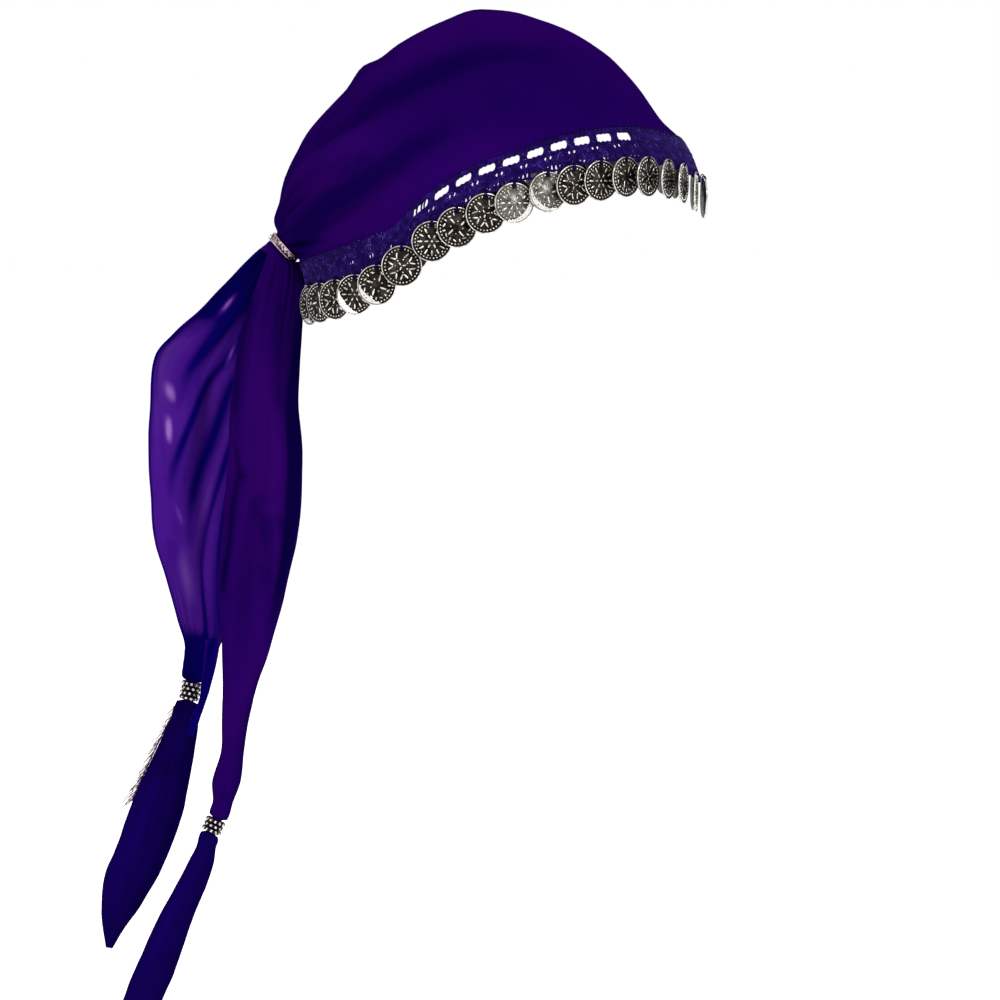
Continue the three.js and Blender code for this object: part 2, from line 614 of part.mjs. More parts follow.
function makeCinchRing() {
  const half = ringWidth / 2;
  const outline = [
    [ringInnerRadius, -half],
    [ringOuterRadius - ringChamfer, -half],
    [ringOuterRadius, -half + ringChamfer],
    [ringOuterRadius, half - ringChamfer],
    [ringOuterRadius - ringChamfer, half],
    [ringInnerRadius, half],
  ];
  const ring = makePiece("cinch_ring", turnedRing(outline, ringSegments), colours.ring);
  return layAlong(ring, cinchCentre, cinchAxis.clone().negate());
}

const cuffAcross = (cuff) => new THREE.Vector3(cosine(cuff.lean), 0, sine(cuff.lean));
const cuffAxis = (cuff) => cuffAcross(cuff).applyAxisAngle(leftward, Math.PI / 2);
const cuffHalf = (cuff) => (cuff.rows * cuffRowHeight) / 2;

// A cuff of bead rows, one rounded row above the other.
function makeCuff(name, cuff) {
  const half = cuffHalf(cuff);
  const outline = [[cuffInnerRadius, half], [cuffInnerRadius, -half]];
  for (let row = 0; row < cuff.rows; row += 1) {
    const base = -half + row * cuffRowHeight;
    outline.push([cuffOuterRadius - cuffGroove, base + cuffRowHeight / 50]);
    outline.push([cuffOuterRadius, base + cuffRowHeight / 2]);
  }
  outline.push([cuffOuterRadius - cuffGroove, half]);
  const piece = makePiece(name, turnedRing(outline, cuffSegments), colours.beads);
  return layAlong(piece, cuff.centre, cuffAxis(cuff).negate());
}

// The round section where cloth is gathered into a ring or cuff.
function gatheredRow(centre, across, radius, bend, side) {
  return {
    back: centre.clone().addScaledVector(across, -radius),
    front: centre.clone().addScaledVector(across, radius),
    bend,
    swell: radius,
    away: centre.y * side,
  };
}

function openRow(row) {
  return {
    back: new THREE.Vector3(row.backX - hemReach, 0, row.backZ),
    front: new THREE.Vector3(row.frontX + hemReach, 0, row.frontZ),
    bend: row.bend,
    swell: row.swell,
    away: row.away,
  };
}

// Turns a tail's rows into a table of single values, marked by how far down the cloth each row is.
function sectionTable(rows) {
  let length = 0;
  const middles = rows.map((row) => row.back.clone().lerp(row.front, 0.5).setY(0));
  const lengths = middles.map((middle, index) => {
    length += index > 0 ? middle.distanceTo(middles[index - 1]) : 0;
    return length;
  });
  return rows.map((row, index) => ({
    down: lengths[index] / length,
    backX: row.back.x,
    backZ: row.back.z,
    frontX: row.front.x,
    frontZ: row.front.z,
    bend: row.bend,
    swell: row.swell,
    away: row.away,
  }));
}

// One point of a strip of cloth. Its section is an arc between the two edges, swelling sideways.
function stripPoint(table, side, across, down) {
  const read = (column) => readTable(table, "down", column, down);
  const back = new THREE.Vector3(read("backX"), 0, read("backZ"));
  const front = new THREE.Vector3(read("frontX"), 0, read("frontZ"));
  const bend = toRadians(read("bend"));
  const angle = (across - 0.5) * bend;
  const halfBend = Math.min(bend, Math.PI) / 2;
  const reach = Math.sin(angle) / Math.sin(halfBend);
  const bulge = (Math.cos(angle) - Math.cos(halfBend)) / (1 - Math.cos(halfBend));
  const point = back.lerp(front, (1 + reach) / 2);
  point.y = side * (read("away") + read("swell") * bulge);
  return point;
}

// Every row of the table, and as many between two rows as keep them no further apart than a step.
function stripDowns(table, step) {
  const downs = [0];
  for (let index = 1; index < table.length; index += 1) {
    const start = table[index - 1].down;
    const span = table[index].down - start;
    const parts = Math.max(1, Math.round(span / step));
    for (let part = 1; part <= parts; part += 1) {
      downs.push(start + (span * part) / parts);
    }
  }
  return downs;
}

function stripGrid(table, side, folds, columns, step) {
  const fine = 0.003;
  const grid = [];
  for (const down of stripDowns(table, step)) {
    const line = [];
    for (let column = 0; column <= columns; column += 1) {
      const across = column / columns;
      const point = stripPoint(table, side, across, down);
      const along = stripPoint(table, side, clamp(across + fine, 0, 1), down);
      along.sub(stripPoint(table, side, clamp(across - fine, 0, 1), down));
      const below = stripPoint(table, side, across, clamp(down + fine, 0, 1));
      below.sub(stripPoint(table, side, across, clamp(down - fine, 0, 1)));
      const outward = along.cross(below).normalize().multiplyScalar(side);
      line.push(point.addScaledVector(outward, stripFold(table, folds, across, down)));
    }
    grid.push(line);
  }
  return grid;
}

function stripFold(table, folds, across, down) {
  const width = Math.hypot(
    readTable(table, "down", "frontX", down) - readTable(table, "down", "backX", down),
    readTable(table, "down", "frontZ", down) - readTable(table, "down", "backZ", down),
  );
  const room = smooth((width - foldRoom.from) / foldRoom.span);
  let height = 0;
  for (const fold of folds) {
    const part = (down - fold.down) / (fold.endDown - fold.down);
    if (part <= 0 || part >= 1) {
      continue;
    }
    const distance = (across - mix(fold.across, fold.endAcross, part)) * width * foldSpread;
    height += fold.depth * Math.exp(-((distance / fold.width) ** 2)) * Math.sin(Math.PI * part) ** 0.6;
  }
  return height * room;
}

const gatherRadius = cuffInnerRadius - seamGap - clothThickness / 2;

// A tail from the end of the crown's neck down into its cuff.
function tailTable(rows, cuff, side) {
  const top = cinchCentre.clone().addScaledVector(cinchAxis, ringWidth / 2 + 2 * seamGap);
  top.y = (side * seamGap) / 2;
  const start = top.clone().addScaledVector(cinchAxis, straightLength);
  const above = cuff.centre.clone().addScaledVector(cuffAxis(cuff), -cuffHalf(cuff) - straightLength);
  const bottom = cuff.centre.clone().addScaledVector(cuffAxis(cuff), -seamGap / 2);
  return sectionTable([
    gatheredRow(top, cinchUp.clone().negate(), neckRadius, 180, side),
    gatheredRow(start, cinchUp.clone().negate(), neckRadius, 180, side),
    ...rows.map(openRow),
    gatheredRow(above, cuffAcross(cuff), gatherRadius, 300, side),
    gatheredRow(bottom, cuffAcross(cuff), gatherRadius, 300, side),
  ]);
}

function endTable(rows, cuff, side) {
  const top = cuff.centre.clone().addScaledVector(cuffAxis(cuff), seamGap / 2);
  const below = cuff.centre.clone().addScaledVector(cuffAxis(cuff), cuffHalf(cuff) + straightLength);
  return sectionTable([
    gatheredRow(top, cuffAcross(cuff), gatherRadius, 300, side),
    gatheredRow(below, cuffAcross(cuff), gatherRadius, 300, side),
    ...rows.map(openRow),
  ]);
}

// Metallic strands with their roots in a narrow strip beside the back edge of the left tail end.
function makeFringe(table) {
  const positions = [];
  const faces = [];
  const segments = fringeStrands * 2;
  const thickness = clothThickness;
  const edgeAt = (down) => stripPoint(table, 1, 0, down);
  for (let step = 0; step <= segments; step += 1) {
    const down = mix(fringeFrom, fringeTo, step / segments);
    const edge = edgeAt(down);
    const along = edgeAt(down + 0.01).sub(edgeAt(down - 0.01)).normalize();
    const outward = new THREE.Vector3(along.z, 0, -along.x).normalize();
    if (outward.x > 0) {
      outward.negate();
    }
    const inner = edge.clone().addScaledVector(outward, seamGap + clothThickness);
    const outer = inner.clone().addScaledVector(outward, fringeStripWidth);
    for (const [corner, shift] of [[inner, -0.5], [outer, -0.5], [outer, 0.5], [inner, 0.5]]) {
      positions.push(corner.x, corner.y + shift * thickness, corner.z);
    }
  }
  const corner = (step, number) => step * 4 + (number % 4);
  for (let step = 0; step < segments; step += 1) {
    for (let number = 0; number < 4; number += 1) {
      const a = corner(step, number);
      const b = corner(step, number + 1);
      const c = corner(step + 1, number + 1);
      const d = corner(step + 1, number);
      if (number === 1 && step % 2 === 0) {
        const strand = step / 2;
        const tip = new THREE.Vector3();
        [a, b, c, d].forEach((point) => tip.add(new THREE.Vector3().fromArray(positions, point * 3)));
        tip.multiplyScalar(0.25);
        const length = strandLength * (1 - strandFall.lengthSpread * (0.75 - Math.sin(5.3 * strand)));
        tip.x -= length * cosine(strandFall.degrees);
        tip.z -= length * sine(strandFall.degrees);
        const tipIndex = positions.length / 3;
        positions.push(tip.x, tip.y, tip.z);
        faces.push(a, b, tipIndex, b, c, tipIndex, c, d, tipIndex, d, a, tipIndex);
      } else {
        faces.push(a, b, c, a, c, d);
      }
    }
  }
  faces.push(0, 2, 1, 0, 3, 2);
  const end = segments * 4;
  faces.push(end, end + 1, end + 2, end, end + 2, end + 3);
  return makePiece("fringe_left", solidGeometry(positions, faces), colours.fringe);
}

function makeStrip(name, table, side, folds, columns, step, look) {
  const grid = stripGrid(table, side, folds, columns, step);
  return makePiece(name, wallGeometry(grid, clothThickness), look);
}

const scarf = new THREE.Group();
scarf.add(makeCrown());
scarf.add(makeBand("crochet_band_right", -1));
scarf.add(makeBand("crochet_band_left", 1));
scarf.add(makeCoins("right", -1));
scarf.add(makeCoins("left", 1));
scarf.add(makeCinchRing());

const rightTail = tailTable(rightTailRows, rightCuff, -1);
const leftTail = tailTable(leftTailRows, leftCuff, 1);
const rightEnd = endTable(rightEndRows, rightCuff, -1);
const leftEnd = endTable(leftEndRows, leftCuff, 1);
scarf.add(makeStrip("tail_right", rightTail, -1, rightTailFolds, tailColumns, tailStep, colours.cloth));
scarf.add(makeStrip("tail_left", leftTail, 1, leftTailFolds, tailColumns, tailStep, colours.sheerCloth));
scarf.add(makeCuff("cuff_right", rightCuff));
scarf.add(makeCuff("cuff_left", leftCuff));
scarf.add(makeStrip("tail_end_right", rightEnd, -1, endFolds, endColumns, endStep, colours.cloth));
scarf.add(makeStrip("tail_end_left", leftEnd, 1, endFolds, endColumns, endStep, colours.cloth));
scarf.add(makeFringe(leftEnd));

const looseEdge = sectionTable(looseEdgeRows.map(openRow));
const looseEdgeStrip = [1, [], looseEdgeColumns, looseEdgeStep, colours.sheerCloth];
scarf.add(makeStrip("tail_edge_left", looseEdge, ...looseEdgeStrip));

export default scarf;
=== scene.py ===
import math
import random

import bmesh
import bpy
from mathutils import Matrix, Vector, noise


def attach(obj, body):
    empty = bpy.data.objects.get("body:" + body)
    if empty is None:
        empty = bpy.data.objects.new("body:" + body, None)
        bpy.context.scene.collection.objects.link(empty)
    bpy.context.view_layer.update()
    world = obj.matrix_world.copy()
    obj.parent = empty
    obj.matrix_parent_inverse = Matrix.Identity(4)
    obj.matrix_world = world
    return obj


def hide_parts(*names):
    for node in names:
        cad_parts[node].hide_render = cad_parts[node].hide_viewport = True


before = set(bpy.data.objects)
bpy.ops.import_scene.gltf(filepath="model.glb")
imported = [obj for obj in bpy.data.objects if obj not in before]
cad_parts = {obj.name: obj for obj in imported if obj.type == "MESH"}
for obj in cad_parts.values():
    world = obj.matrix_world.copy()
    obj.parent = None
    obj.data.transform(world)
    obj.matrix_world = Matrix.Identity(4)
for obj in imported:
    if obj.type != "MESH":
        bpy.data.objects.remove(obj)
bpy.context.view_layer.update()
scene = bpy.context.scene
random.seed(11)
print("frame loaded")

# Shapes are worked out in millimetres and put into their meshes in metres.
metre = 0.001

viewpoint = {"place": (0.0095, -2.9927, -0.0228), "aim": (0.0095, 0, -0.2321), "lens": 226.9, "film": 36}

studio = {
    "floorLevel": -0.545, "floorRadius": 12, "floorColour": (0.95, 0.95, 0.95, 1), "floorRoughness": 0.9,
    "floorGlow": 0.12, "worldLight": 1.0, "lampAim": (0, 0, -0.2),
    "lamps": [
        {"name": "keyLamp", "place": (1.5, -2.1, 1.5), "width": 1.3, "power": 62},
        {"name": "fillLamp", "place": (-2.4, -1.6, 0.4), "width": 1.6, "power": 22},
        {"name": "backLamp", "place": (-0.6, 2.4, 1.6), "width": 1.6, "power": 40},
    ],
}


def addObject(name, data):
    piece = bpy.data.objects.new(name, data)
    scene.collection.objects.link(piece)
    return piece


def aimAt(piece, place, aim):
    piece.location = place
    piece.rotation_euler = (Vector(aim) - Vector(place)).to_track_quat("-Z", "Y").to_euler()


def setInputs(node, **values):
    for key, value in values.items():
        node.inputs[key].default_value = value
    return node


def makeStudio():
    film = bpy.data.cameras.new("camera")
    film.lens = viewpoint["lens"]
    film.sensor_width = viewpoint["film"]
    film.clip_end = 40
    camera = addObject("camera", film)
    aimAt(camera, viewpoint["place"], viewpoint["aim"])
    scene.camera = camera
    for lamp in studio["lamps"]:
        light = bpy.data.lights.new(lamp["name"], "AREA")
        light.size = lamp["width"]
        light.energy = lamp["power"]
        aimAt(addObject(lamp["name"], light), lamp["place"], studio["lampAim"])
    scene.world = bpy.data.worlds.new("studio")
    scene.world.use_nodes = True
    sky = scene.world.node_tree.nodes["Background"]
    setInputs(sky, Color=(1, 1, 1, 1), Strength=studio["worldLight"])
    scene.view_settings.view_transform = "Standard"
    disc = bmesh.new()
    bmesh.ops.create_circle(disc, cap_ends=True, segments=64, radius=studio["floorRadius"])
    bmesh.ops.translate(disc, vec=(0, 0, studio["floorLevel"]), verts=disc.verts)
    mesh = bpy.data.meshes.new("floor")
    disc.to_mesh(mesh)
    disc.free()
    floor = addObject("floor", mesh)
    paint = bpy.data.materials.new("floorPaint")
    paint.use_nodes = True
    setInputs(paint.node_tree.nodes["Principled BSDF"], Roughness=studio["floorRoughness"], **{
        "Base Color": studio["floorColour"], "Emission Color": (1, 1, 1, 1),
        "Emission Strength": studio["floorGlow"],
    })
    mesh.materials.append(paint)


makeStudio()
print("studio made")


def newGroup(name, inputs, outputs):
    group = bpy.data.node_groups.new(name, "ShaderNodeTree")
    for label, kind, value in inputs:
        group.interface.new_socket(label, in_out="INPUT", socket_type=kind).default_value = value
    for label, kind in outputs:
        group.interface.new_socket(label, in_out="OUTPUT", socket_type=kind)
    start = group.nodes.new("NodeGroupInput")
    end = group.nodes.new("NodeGroupOutput")
    return group, start, end


def addNode(tree, kind, **settings):
    node = tree.nodes.new(kind)
    for key, value in settings.items():
        setattr(node, key, value)
    return node


def addMath(tree, operation, first, second):
    node = addNode(tree, "ShaderNodeMath", operation=operation)
    for socket, value in zip(node.inputs, (first, second)):
        if isinstance(value, (int, float)):
            socket.default_value = value
        else:
            tree.links.new(value, socket)
    return node.outputs[0]


def addMix(tree, factor, first, second):
    node = addNode(tree, "ShaderNodeMix", data_type="RGBA")
    for socket, value in ((node.inputs[0], factor), (node.inputs[6], first), (node.inputs[7], second)):
        if isinstance(value, bpy.types.NodeSocket):
            tree.links.new(value, socket)
        else:
            socket.default_value = value
    return node.outputs[2]


def spread(tree, value, low, high):
    node = addNode(tree, "ShaderNodeMapRange", interpolation_type="SMOOTHSTEP")
    tree.links.new(value, node.inputs["Value"])
    setInputs(node, **{"From Min": low, "From Max": high})
    return node.outputs["Result"]


# Two tones that drift across the cloth, as dyed fine cloth has.
def makeDyeGroup():
    group, start, end = newGroup("dyeTones", [
        ("Place", "NodeSocketVector", (0, 0, 0)),
        ("Size", "NodeSocketFloat", 12.0),
        ("Main", "NodeSocketColor", (0.02, 0.001, 0.1, 1)),
        ("Warm", "NodeSocketColor", (0.03, 0.001, 0.1, 1)),
        ("Deep", "NodeSocketColor", (0.01, 0.001, 0.08, 1)),
    ], [("Colour", "NodeSocketColor")])
    broad = addNode(group, "ShaderNodeTexNoise")
    setInputs(broad, Detail=2.0, Roughness=0.5)
    fine = addNode(group, "ShaderNodeTexNoise")
    setInputs(fine, Detail=3.0, Roughness=0.6)
    group.links.new(start.outputs["Place"], broad.inputs["Vector"])
    group.links.new(start.outputs["Size"], broad.inputs["Scale"])
    group.links.new(start.outputs["Place"], fine.inputs["Vector"])
    group.links.new(addMath(group, "MULTIPLY", start.outputs["Size"], 2.7), fine.inputs["Scale"])
    warm = spread(group, broad.outputs[0], 0.4, 0.66)
    deep = spread(group, fine.outputs[0], 0.52, 0.74)
    toned = addMix(group, warm, start.outputs["Main"], start.outputs["Warm"])
    group.links.new(addMix(group, deep, toned, start.outputs["Deep"]), end.inputs["Colour"])
    return group


# Crossed threads on the cloth's own map, which is in metres.
def makeWeaveGroup():
    group, start, end = newGroup("fineWeave", [
        ("Place", "NodeSocketVector", (0, 0, 0)),
        ("Threads", "NodeSocketFloat", 2200.0),
    ], [("Height", "NodeSocketFloat"), ("Shade", "NodeSocketFloat")])
    heights = []
    for direction in ("X", "Y"):
        wave = addNode(group, "ShaderNodeTexWave", bands_direction=direction)
        setInputs(wave, Distortion=0.6, Detail=1.0, **{"Detail Scale": 0.5})
        group.links.new(start.outputs["Place"], wave.inputs["Vector"])
        group.links.new(start.outputs["Threads"], wave.inputs["Scale"])
        heights.append(wave.outputs["Fac"])
    slub = addNode(group, "ShaderNodeTexNoise")
    setInputs(slub, Scale=320.0, Detail=2.0)
    group.links.new(start.outputs["Place"], slub.inputs["Vector"])
    woven = addMath(group, "MAXIMUM", *heights)
    group.links.new(addMath(group, "ADD", woven, slub.outputs[0]), end.inputs["Height"])
    group.links.new(addMath(group, "MULTIPLY", woven, slub.outputs[0]), end.inputs["Shade"])
    return group


# Dull and bright places on worked metal.
def makeTarnishGroup():
    group, start, end = newGroup("tarnish", [
        ("Place", "NodeSocketVector", (0, 0, 0)),
        ("Size", "NodeSocketFloat", 160.0),
        ("Clean", "NodeSocketColor", (0.6, 0.6, 0.58, 1)),
        ("Dull", "NodeSocketColor", (0.2, 0.19, 0.17, 1)),
        ("Reach", "NodeSocketFloat", 0.5),
    ], [("Colour", "NodeSocketColor"), ("Mask", "NodeSocketFloat")])
    patch = addNode(group, "ShaderNodeTexNoise")
    setInputs(patch, Detail=4.0, Roughness=0.65)
    group.links.new(start.outputs["Place"], patch.inputs["Vector"])
    group.links.new(start.outputs["Size"], patch.inputs["Scale"])
    shifted = addMath(group, "ADD", patch.outputs[0], start.outputs["Reach"])
    mask = spread(group, shifted, 0.85, 1.15)
    group.links.new(addMix(group, mask, start.outputs["Clean"], start.outputs["Dull"]), end.inputs["Colour"])
    group.links.new(mask, end.inputs["Mask"])
    return group


dyeGroup = makeDyeGroup()
weaveGroup = makeWeaveGroup()
tarnishGroup = makeTarnishGroup()


def startMaterial(name, **values):
    material = bpy.data.materials.new(name)
    material.use_nodes = True
    tree = material.node_tree
    shader = tree.nodes["Principled BSDF"]
    setInputs(shader, **values)
    place = addNode(tree, "ShaderNodeTexCoord").outputs["Object"]
    return material, tree, shader, place


def placeGroup(tree, group, place, **values):
    node = addNode(tree, "ShaderNodeGroup", node_tree=group)
    tree.links.new(place, node.inputs["Place"])
    return setInputs(node, **values)


def addBump(tree, shader, height, strength, distance):
    bump = addNode(tree, "ShaderNodeBump")
    setInputs(bump, Strength=strength, Distance=distance)
    tree.links.new(height, bump.inputs["Height"])
    tree.links.new(bump.outputs["Normal"], shader.inputs["Normal"])


# Main, Warm and Deep are dye colours; the last two colours are painted shade and a painted highlight. The
# cloth's own "shade" map says where they lie: painted shade in troughs and between gathers (partly the real
# darker look of doubled sheer cloth), and painted highlights on lit places.
clothLooks = {
    "crownCloth": {
        "Main": (0.0085, 0.0002, 0.0535, 1), "Warm": (0.0128, 0.0002, 0.058, 1),
        "Deep": (0.0062, 0.0002, 0.047, 1), "Shadow": (0.0036, 0.0001, 0.037, 1),
        "Light": (0.0185, 0.0006, 0.082, 1), "Size": 13.0,
    },
    "tailCloth": {
        "Main": (0.0103, 0.0003, 0.061, 1), "Warm": (0.0155, 0.0004, 0.068, 1),
        "Deep": (0.007, 0.0003, 0.05, 1), "Shadow": (0.0018, 0.0002, 0.027, 1),
        "Light": (0.024, 0.001, 0.088, 1), "Size": 16.0,
    },
    "endCloth": {
        "Main": (0.0034, 0.0003, 0.046, 1), "Warm": (0.0044, 0.0003, 0.056, 1),
        "Deep": (0.0025, 0.0003, 0.035, 1), "Shadow": (0.0018, 0.0002, 0.024, 1),
        "Light": (0.0058, 0.0004, 0.085, 1), "Size": 16.0,
    },
    "sheerCloth": {
        "Main": (0.05, 0.0065, 0.2, 1), "Warm": (0.06, 0.0085, 0.215, 1),
        "Deep": (0.036, 0.004, 0.165, 1), "Shadow": (0.0022, 0.0003, 0.086, 1),
        "Light": (0.25, 0.11, 0.42, 1), "Size": 15.0,
    },
}


def makeCloth(name):
    look = clothLooks[name]
    material, tree, shader, place = startMaterial(name, Roughness=0.55, **{"Specular IOR Level": 0.0})
    dye = placeGroup(tree, dyeGroup, place, **{key: look[key] for key in ("Main", "Warm", "Deep", "Size")})
    clothMap = addNode(tree, "ShaderNodeUVMap", uv_map="weave").outputs["UV"]
    weave = placeGroup(tree, weaveGroup, clothMap)
    between = addMath(tree, "MULTIPLY", weave.outputs["Shade"], 0.3)
    woven = addMix(tree, between, dye.outputs["Colour"], look["Deep"])
    # The shade map's first channel mixes in painted shade, its second a painted highlight.
    split = addNode(tree, "ShaderNodeSeparateXYZ")
    tree.links.new(addNode(tree, "ShaderNodeUVMap", uv_map="shade").outputs["UV"], split.inputs[0])
    darkened = addMix(tree, split.outputs["X"], woven, look["Shadow"])
    tree.links.new(addMix(tree, split.outputs["Y"], darkened, look["Light"]), shader.inputs["Base Color"])
    addBump(tree, shader, weave.outputs["Height"], 0.12, 0.0002)
    return material


def makeYarn(name, main, warm, deep):
    material, tree, shader, place = startMaterial(name, Roughness=0.72, **{
        "Specular IOR Level": 0.08, "Specular Tint": (0.5, 0.35, 1, 1),
    })
    dye = placeGroup(tree, dyeGroup, place, Main=main, Warm=warm, Deep=deep, Size=300.0)
    tree.links.new(dye.outputs["Colour"], shader.inputs["Base Color"])
    fibre = addNode(tree, "ShaderNodeTexNoise")
    setInputs(fibre, Scale=3200.0, Detail=3.0, Roughness=0.7)
    tree.links.new(place, fibre.inputs["Vector"])
    addBump(tree, shader, fibre.outputs[0], 0.5, 0.0003)
    return material


def makeMetal(name, clean, dull, size, reach, roughness):
    material, tree, shader, place = startMaterial(name, Metallic=1.0, Roughness=roughness)
    tarnish = placeGroup(tree, tarnishGroup, place, Clean=clean, Dull=dull, Size=size, Reach=reach)
    tree.links.new(tarnish.outputs["Colour"], shader.inputs["Base Color"])
    dulled = addMath(tree, "MULTIPLY", tarnish.outputs["Mask"], 0.25)
    tree.links.new(addMath(tree, "ADD", dulled, roughness), shader.inputs["Roughness"])
    addBump(tree, shader, tarnish.outputs["Mask"], 0.25, 0.0001)
    return material


crownLook = makeCloth("crownCloth")
tailLook = makeCloth("tailCloth")
endLook = makeCloth("endCloth")
sheerLook = makeCloth("sheerCloth")
yarnLook = makeYarn(
    "crochetYarn", (0.0055, 0.0006, 0.044, 1), (0.014, 0.003, 0.082, 1), (0.003, 0.0004, 0.028, 1),
)
# Lighter loose fibres: their colour is a painted highlight.
fuzzHighlightLook = makeYarn("yarnFuzzHighlight", (0.028, 0.013, 0.15, 1), (0.07, 0.045, 0.26, 1), (0.012, 0.003, 0.08, 1))
threadLook = makeYarn(
    "sewingThread", (0.004, 0.0004, 0.03, 1), (0.007, 0.0007, 0.045, 1), (0.002, 0.0003, 0.02, 1),
)
reliefLook = makeMetal("coinRelief", (0.66, 0.64, 0.6, 1), (0.17, 0.15, 0.125, 1), 420.0, 0.46, 0.28)
# A lighter coin face: painted glare on coins that face the light.
paintedGlareLook = makeMetal("coinPaintedGlare", (0.15, 0.143, 0.132, 1), (0.03, 0.025, 0.02, 1), 700.0, 0.44, 0.36)
fieldLook = makeMetal("coinField", (0.035, 0.029, 0.024, 1), (0.008, 0.006, 0.005, 1), 300.0, 0.5, 0.42)
# A bright crescent near a coin's rim: a painted highlight.
paintedGlintLook = makeMetal("coinPaintedGlint", (0.86, 0.84, 0.81, 1), (0.5, 0.47, 0.43, 1), 500.0, 0.36, 0.2)
ringLook = makeMetal("ringMetal", (0.46, 0.34, 0.38, 1), (0.05, 0.025, 0.03, 1), 350.0, 0.45, 0.28)
# Bright bead caps: a painted glint.
beadGlintLook = makeMetal("beadPaintedGlint", (0.6, 0.57, 0.55, 1), (0.2, 0.18, 0.17, 1), 500.0, 0.42, 0.22)
beadDarkLook = makeMetal("beadTarnish", (0.06, 0.05, 0.05, 1), (0.014, 0.011, 0.012, 1), 400.0, 0.5, 0.35)
tinselLook = makeMetal("fringeMetal", (0.6, 0.43, 0.45, 1), (0.2, 0.1, 0.14, 1), 600.0, 0.45, 0.3)
tinselDarkLook = makeMetal("fringeDark", (0.06, 0.03, 0.05, 1), (0.012, 0.006, 0.02, 1), 500.0, 0.5, 0.4)
print("finishes made")


def sine(degrees):
    return math.sin(math.radians(degrees))


def cosine(degrees):
    return math.cos(math.radians(degrees))


def mix(low, high, part):
    return low + (high - low) * part


def clamp(value, low, high):
    return max(low, min(high, value))


def smooth(value):
    part = clamp(value, 0, 1)
    return part * part * (3 - 2 * part)


# A soft hump that is 1 in the middle.
def bell(distance, width):
    return math.exp(-((distance / width) ** 2))


def table(columns, *rows):
    return [dict(zip(columns.split(), row)) for row in rows]


# Reads one column of a table, with a smooth curve through its rows.
def readTable(rows, key, column, at):
    last = len(rows) - 1
    index = 0
    while index < last - 1 and rows[index + 1][key] < at:
        index += 1
    before, low, high = rows[max(index - 1, 0)], rows[index], rows[index + 1]
    after = rows[min(index + 2, last)]
    span = high[key] - low[key]
    part = clamp((at - low[key]) / span, 0, 1)
    startSlope = (high[column] - before[column]) / (high[key] - before[key]) * span
    endSlope = (after[column] - low[column]) / (after[key] - low[key]) * span
    square = part * part
    cube = square * part
    return (
        low[column] * (2 * cube - 3 * square + 1)
        + startSlope * (cube - 2 * square + part)
        + high[column] * (3 * square - 2 * cube)
        + endSlope * (cube - square)
    )


def finishPiece(name, shape, looks, nodes, wall=None):
    mesh = bpy.data.meshes.new(name)
    shape.to_mesh(mesh)
    shape.free()
    for look in looks:
        mesh.materials.append(look)
    mesh.shade_smooth()
    piece = addObject(name, mesh)
    if wall:
        shell = piece.modifiers.new("wall", "SOLIDIFY")
        shell.thickness = wall * metre
        shell.offset = 0
    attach(piece, "root")
    if nodes:
        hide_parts(*nodes)
    return piece


# A sheet from a rule that gives the place and the painted shade of a column and row. Its "weave" map is in
# metres, and its "shade" map holds how much painted shade and painted highlight the cloth gets.
def clothGrid(columns, rows, rule, width, length, closed=False):
    spots = [[rule(column, row) for row in range(rows + 1)] for column in range(columns + 1)]
    shape = bmesh.new()
    bmesh.ops.create_grid(shape, x_segments=columns, y_segments=rows, size=0.5)
    weave = shape.loops.layers.uv.new("weave")
    shades = shape.loops.layers.uv.new("shade")
    cells = {}
    for vert in shape.verts:
        across, down = vert.co.x + 0.5, vert.co.y + 0.5
        point, shade = spots[round(across * columns)][round(down * rows)]
        cells[vert] = (point, (across * width, down * length), (clamp(-shade, 0, 1), clamp(shade, 0, 1)))
    for face in shape.faces:
        for loop in face.loops:
            loop[weave].uv, loop[shades].uv = cells[loop.vert][1:]
    for vert, (point, _, _) in cells.items():
        vert.co = point * metre
    if closed:
        bmesh.ops.remove_doubles(shape, verts=shape.verts, dist=1e-6)
    return shape


def sheetArea(shape):
    return sum(face.calc_area() for face in shape.faces)


# Round threads along lines of points, as one mesh.
def threadMesh(lines, radius, sides=6, closed=False):
    curve = bpy.data.curves.new("threads", "CURVE")
    curve.dimensions = "3D"
    curve.bevel_depth = radius * metre
    curve.bevel_resolution = (sides - 4) // 2
    curve.use_fill_caps = True
    for points in lines:
        spline = curve.splines.new("POLY")
        spline.points.add(len(points) - 1)
        for spot, point in zip(spline.points, points):
            spot.co = (*(point * metre), 1)
        spline.use_cyclic_u = closed
    holder = bpy.data.objects.new("threads", curve)
    mesh = bpy.data.meshes.new_from_object(holder)
    bpy.data.objects.remove(holder)
    bpy.data.curves.remove(curve)
    return mesh


def addThreads(shape, lines, radius, sides=6, closed=False, look=0):
    mesh = threadMesh(lines, radius, sides, closed)
    old = len(shape.faces)
    shape.from_mesh(mesh)
    bpy.data.meshes.remove(mesh)
    shape.faces.ensure_lookup_table()
    for face in shape.faces[old:]:
        face.material_index = look
        face.smooth = True


headCentre = Vector((0, 0, -110))
headHalfWidth = 79
headRoundness = 2.4
wall = 1.2
seamGap = 0.3

sideOutline = table(
    "angle reach",
    (-20, 103), (0, 105.5), (17, 107.5), (26, 107), (34, 103), (44, 104), (56, 106.8), (75, 108.8),
    (90, 110), (100, 105.6), (112, 100.8), (118, 98.6), (124, 99.6), (132, 95.4), (150, 95.8),
    (165, 94.8), (177, 92.5), (187, 84.5), (195, 84), (215, 88), (270, 96), (340, 103),
)

bandEdges = table(
    "turn top low",
    (0, -62, -82), (12, -59.5, -79), (30, -55, -72.5), (45, -55, -70.5), (60, -58, -73.5),
    (75, -64, -80), (90, -71, -87), (100, -78, -95), (110, -88, -106.5), (118, -100, -116.5),
    (128, -106.5, -122.5), (145, -113.5, -127.5), (162, -118, -130), (180, -120.5, -130.5),
)

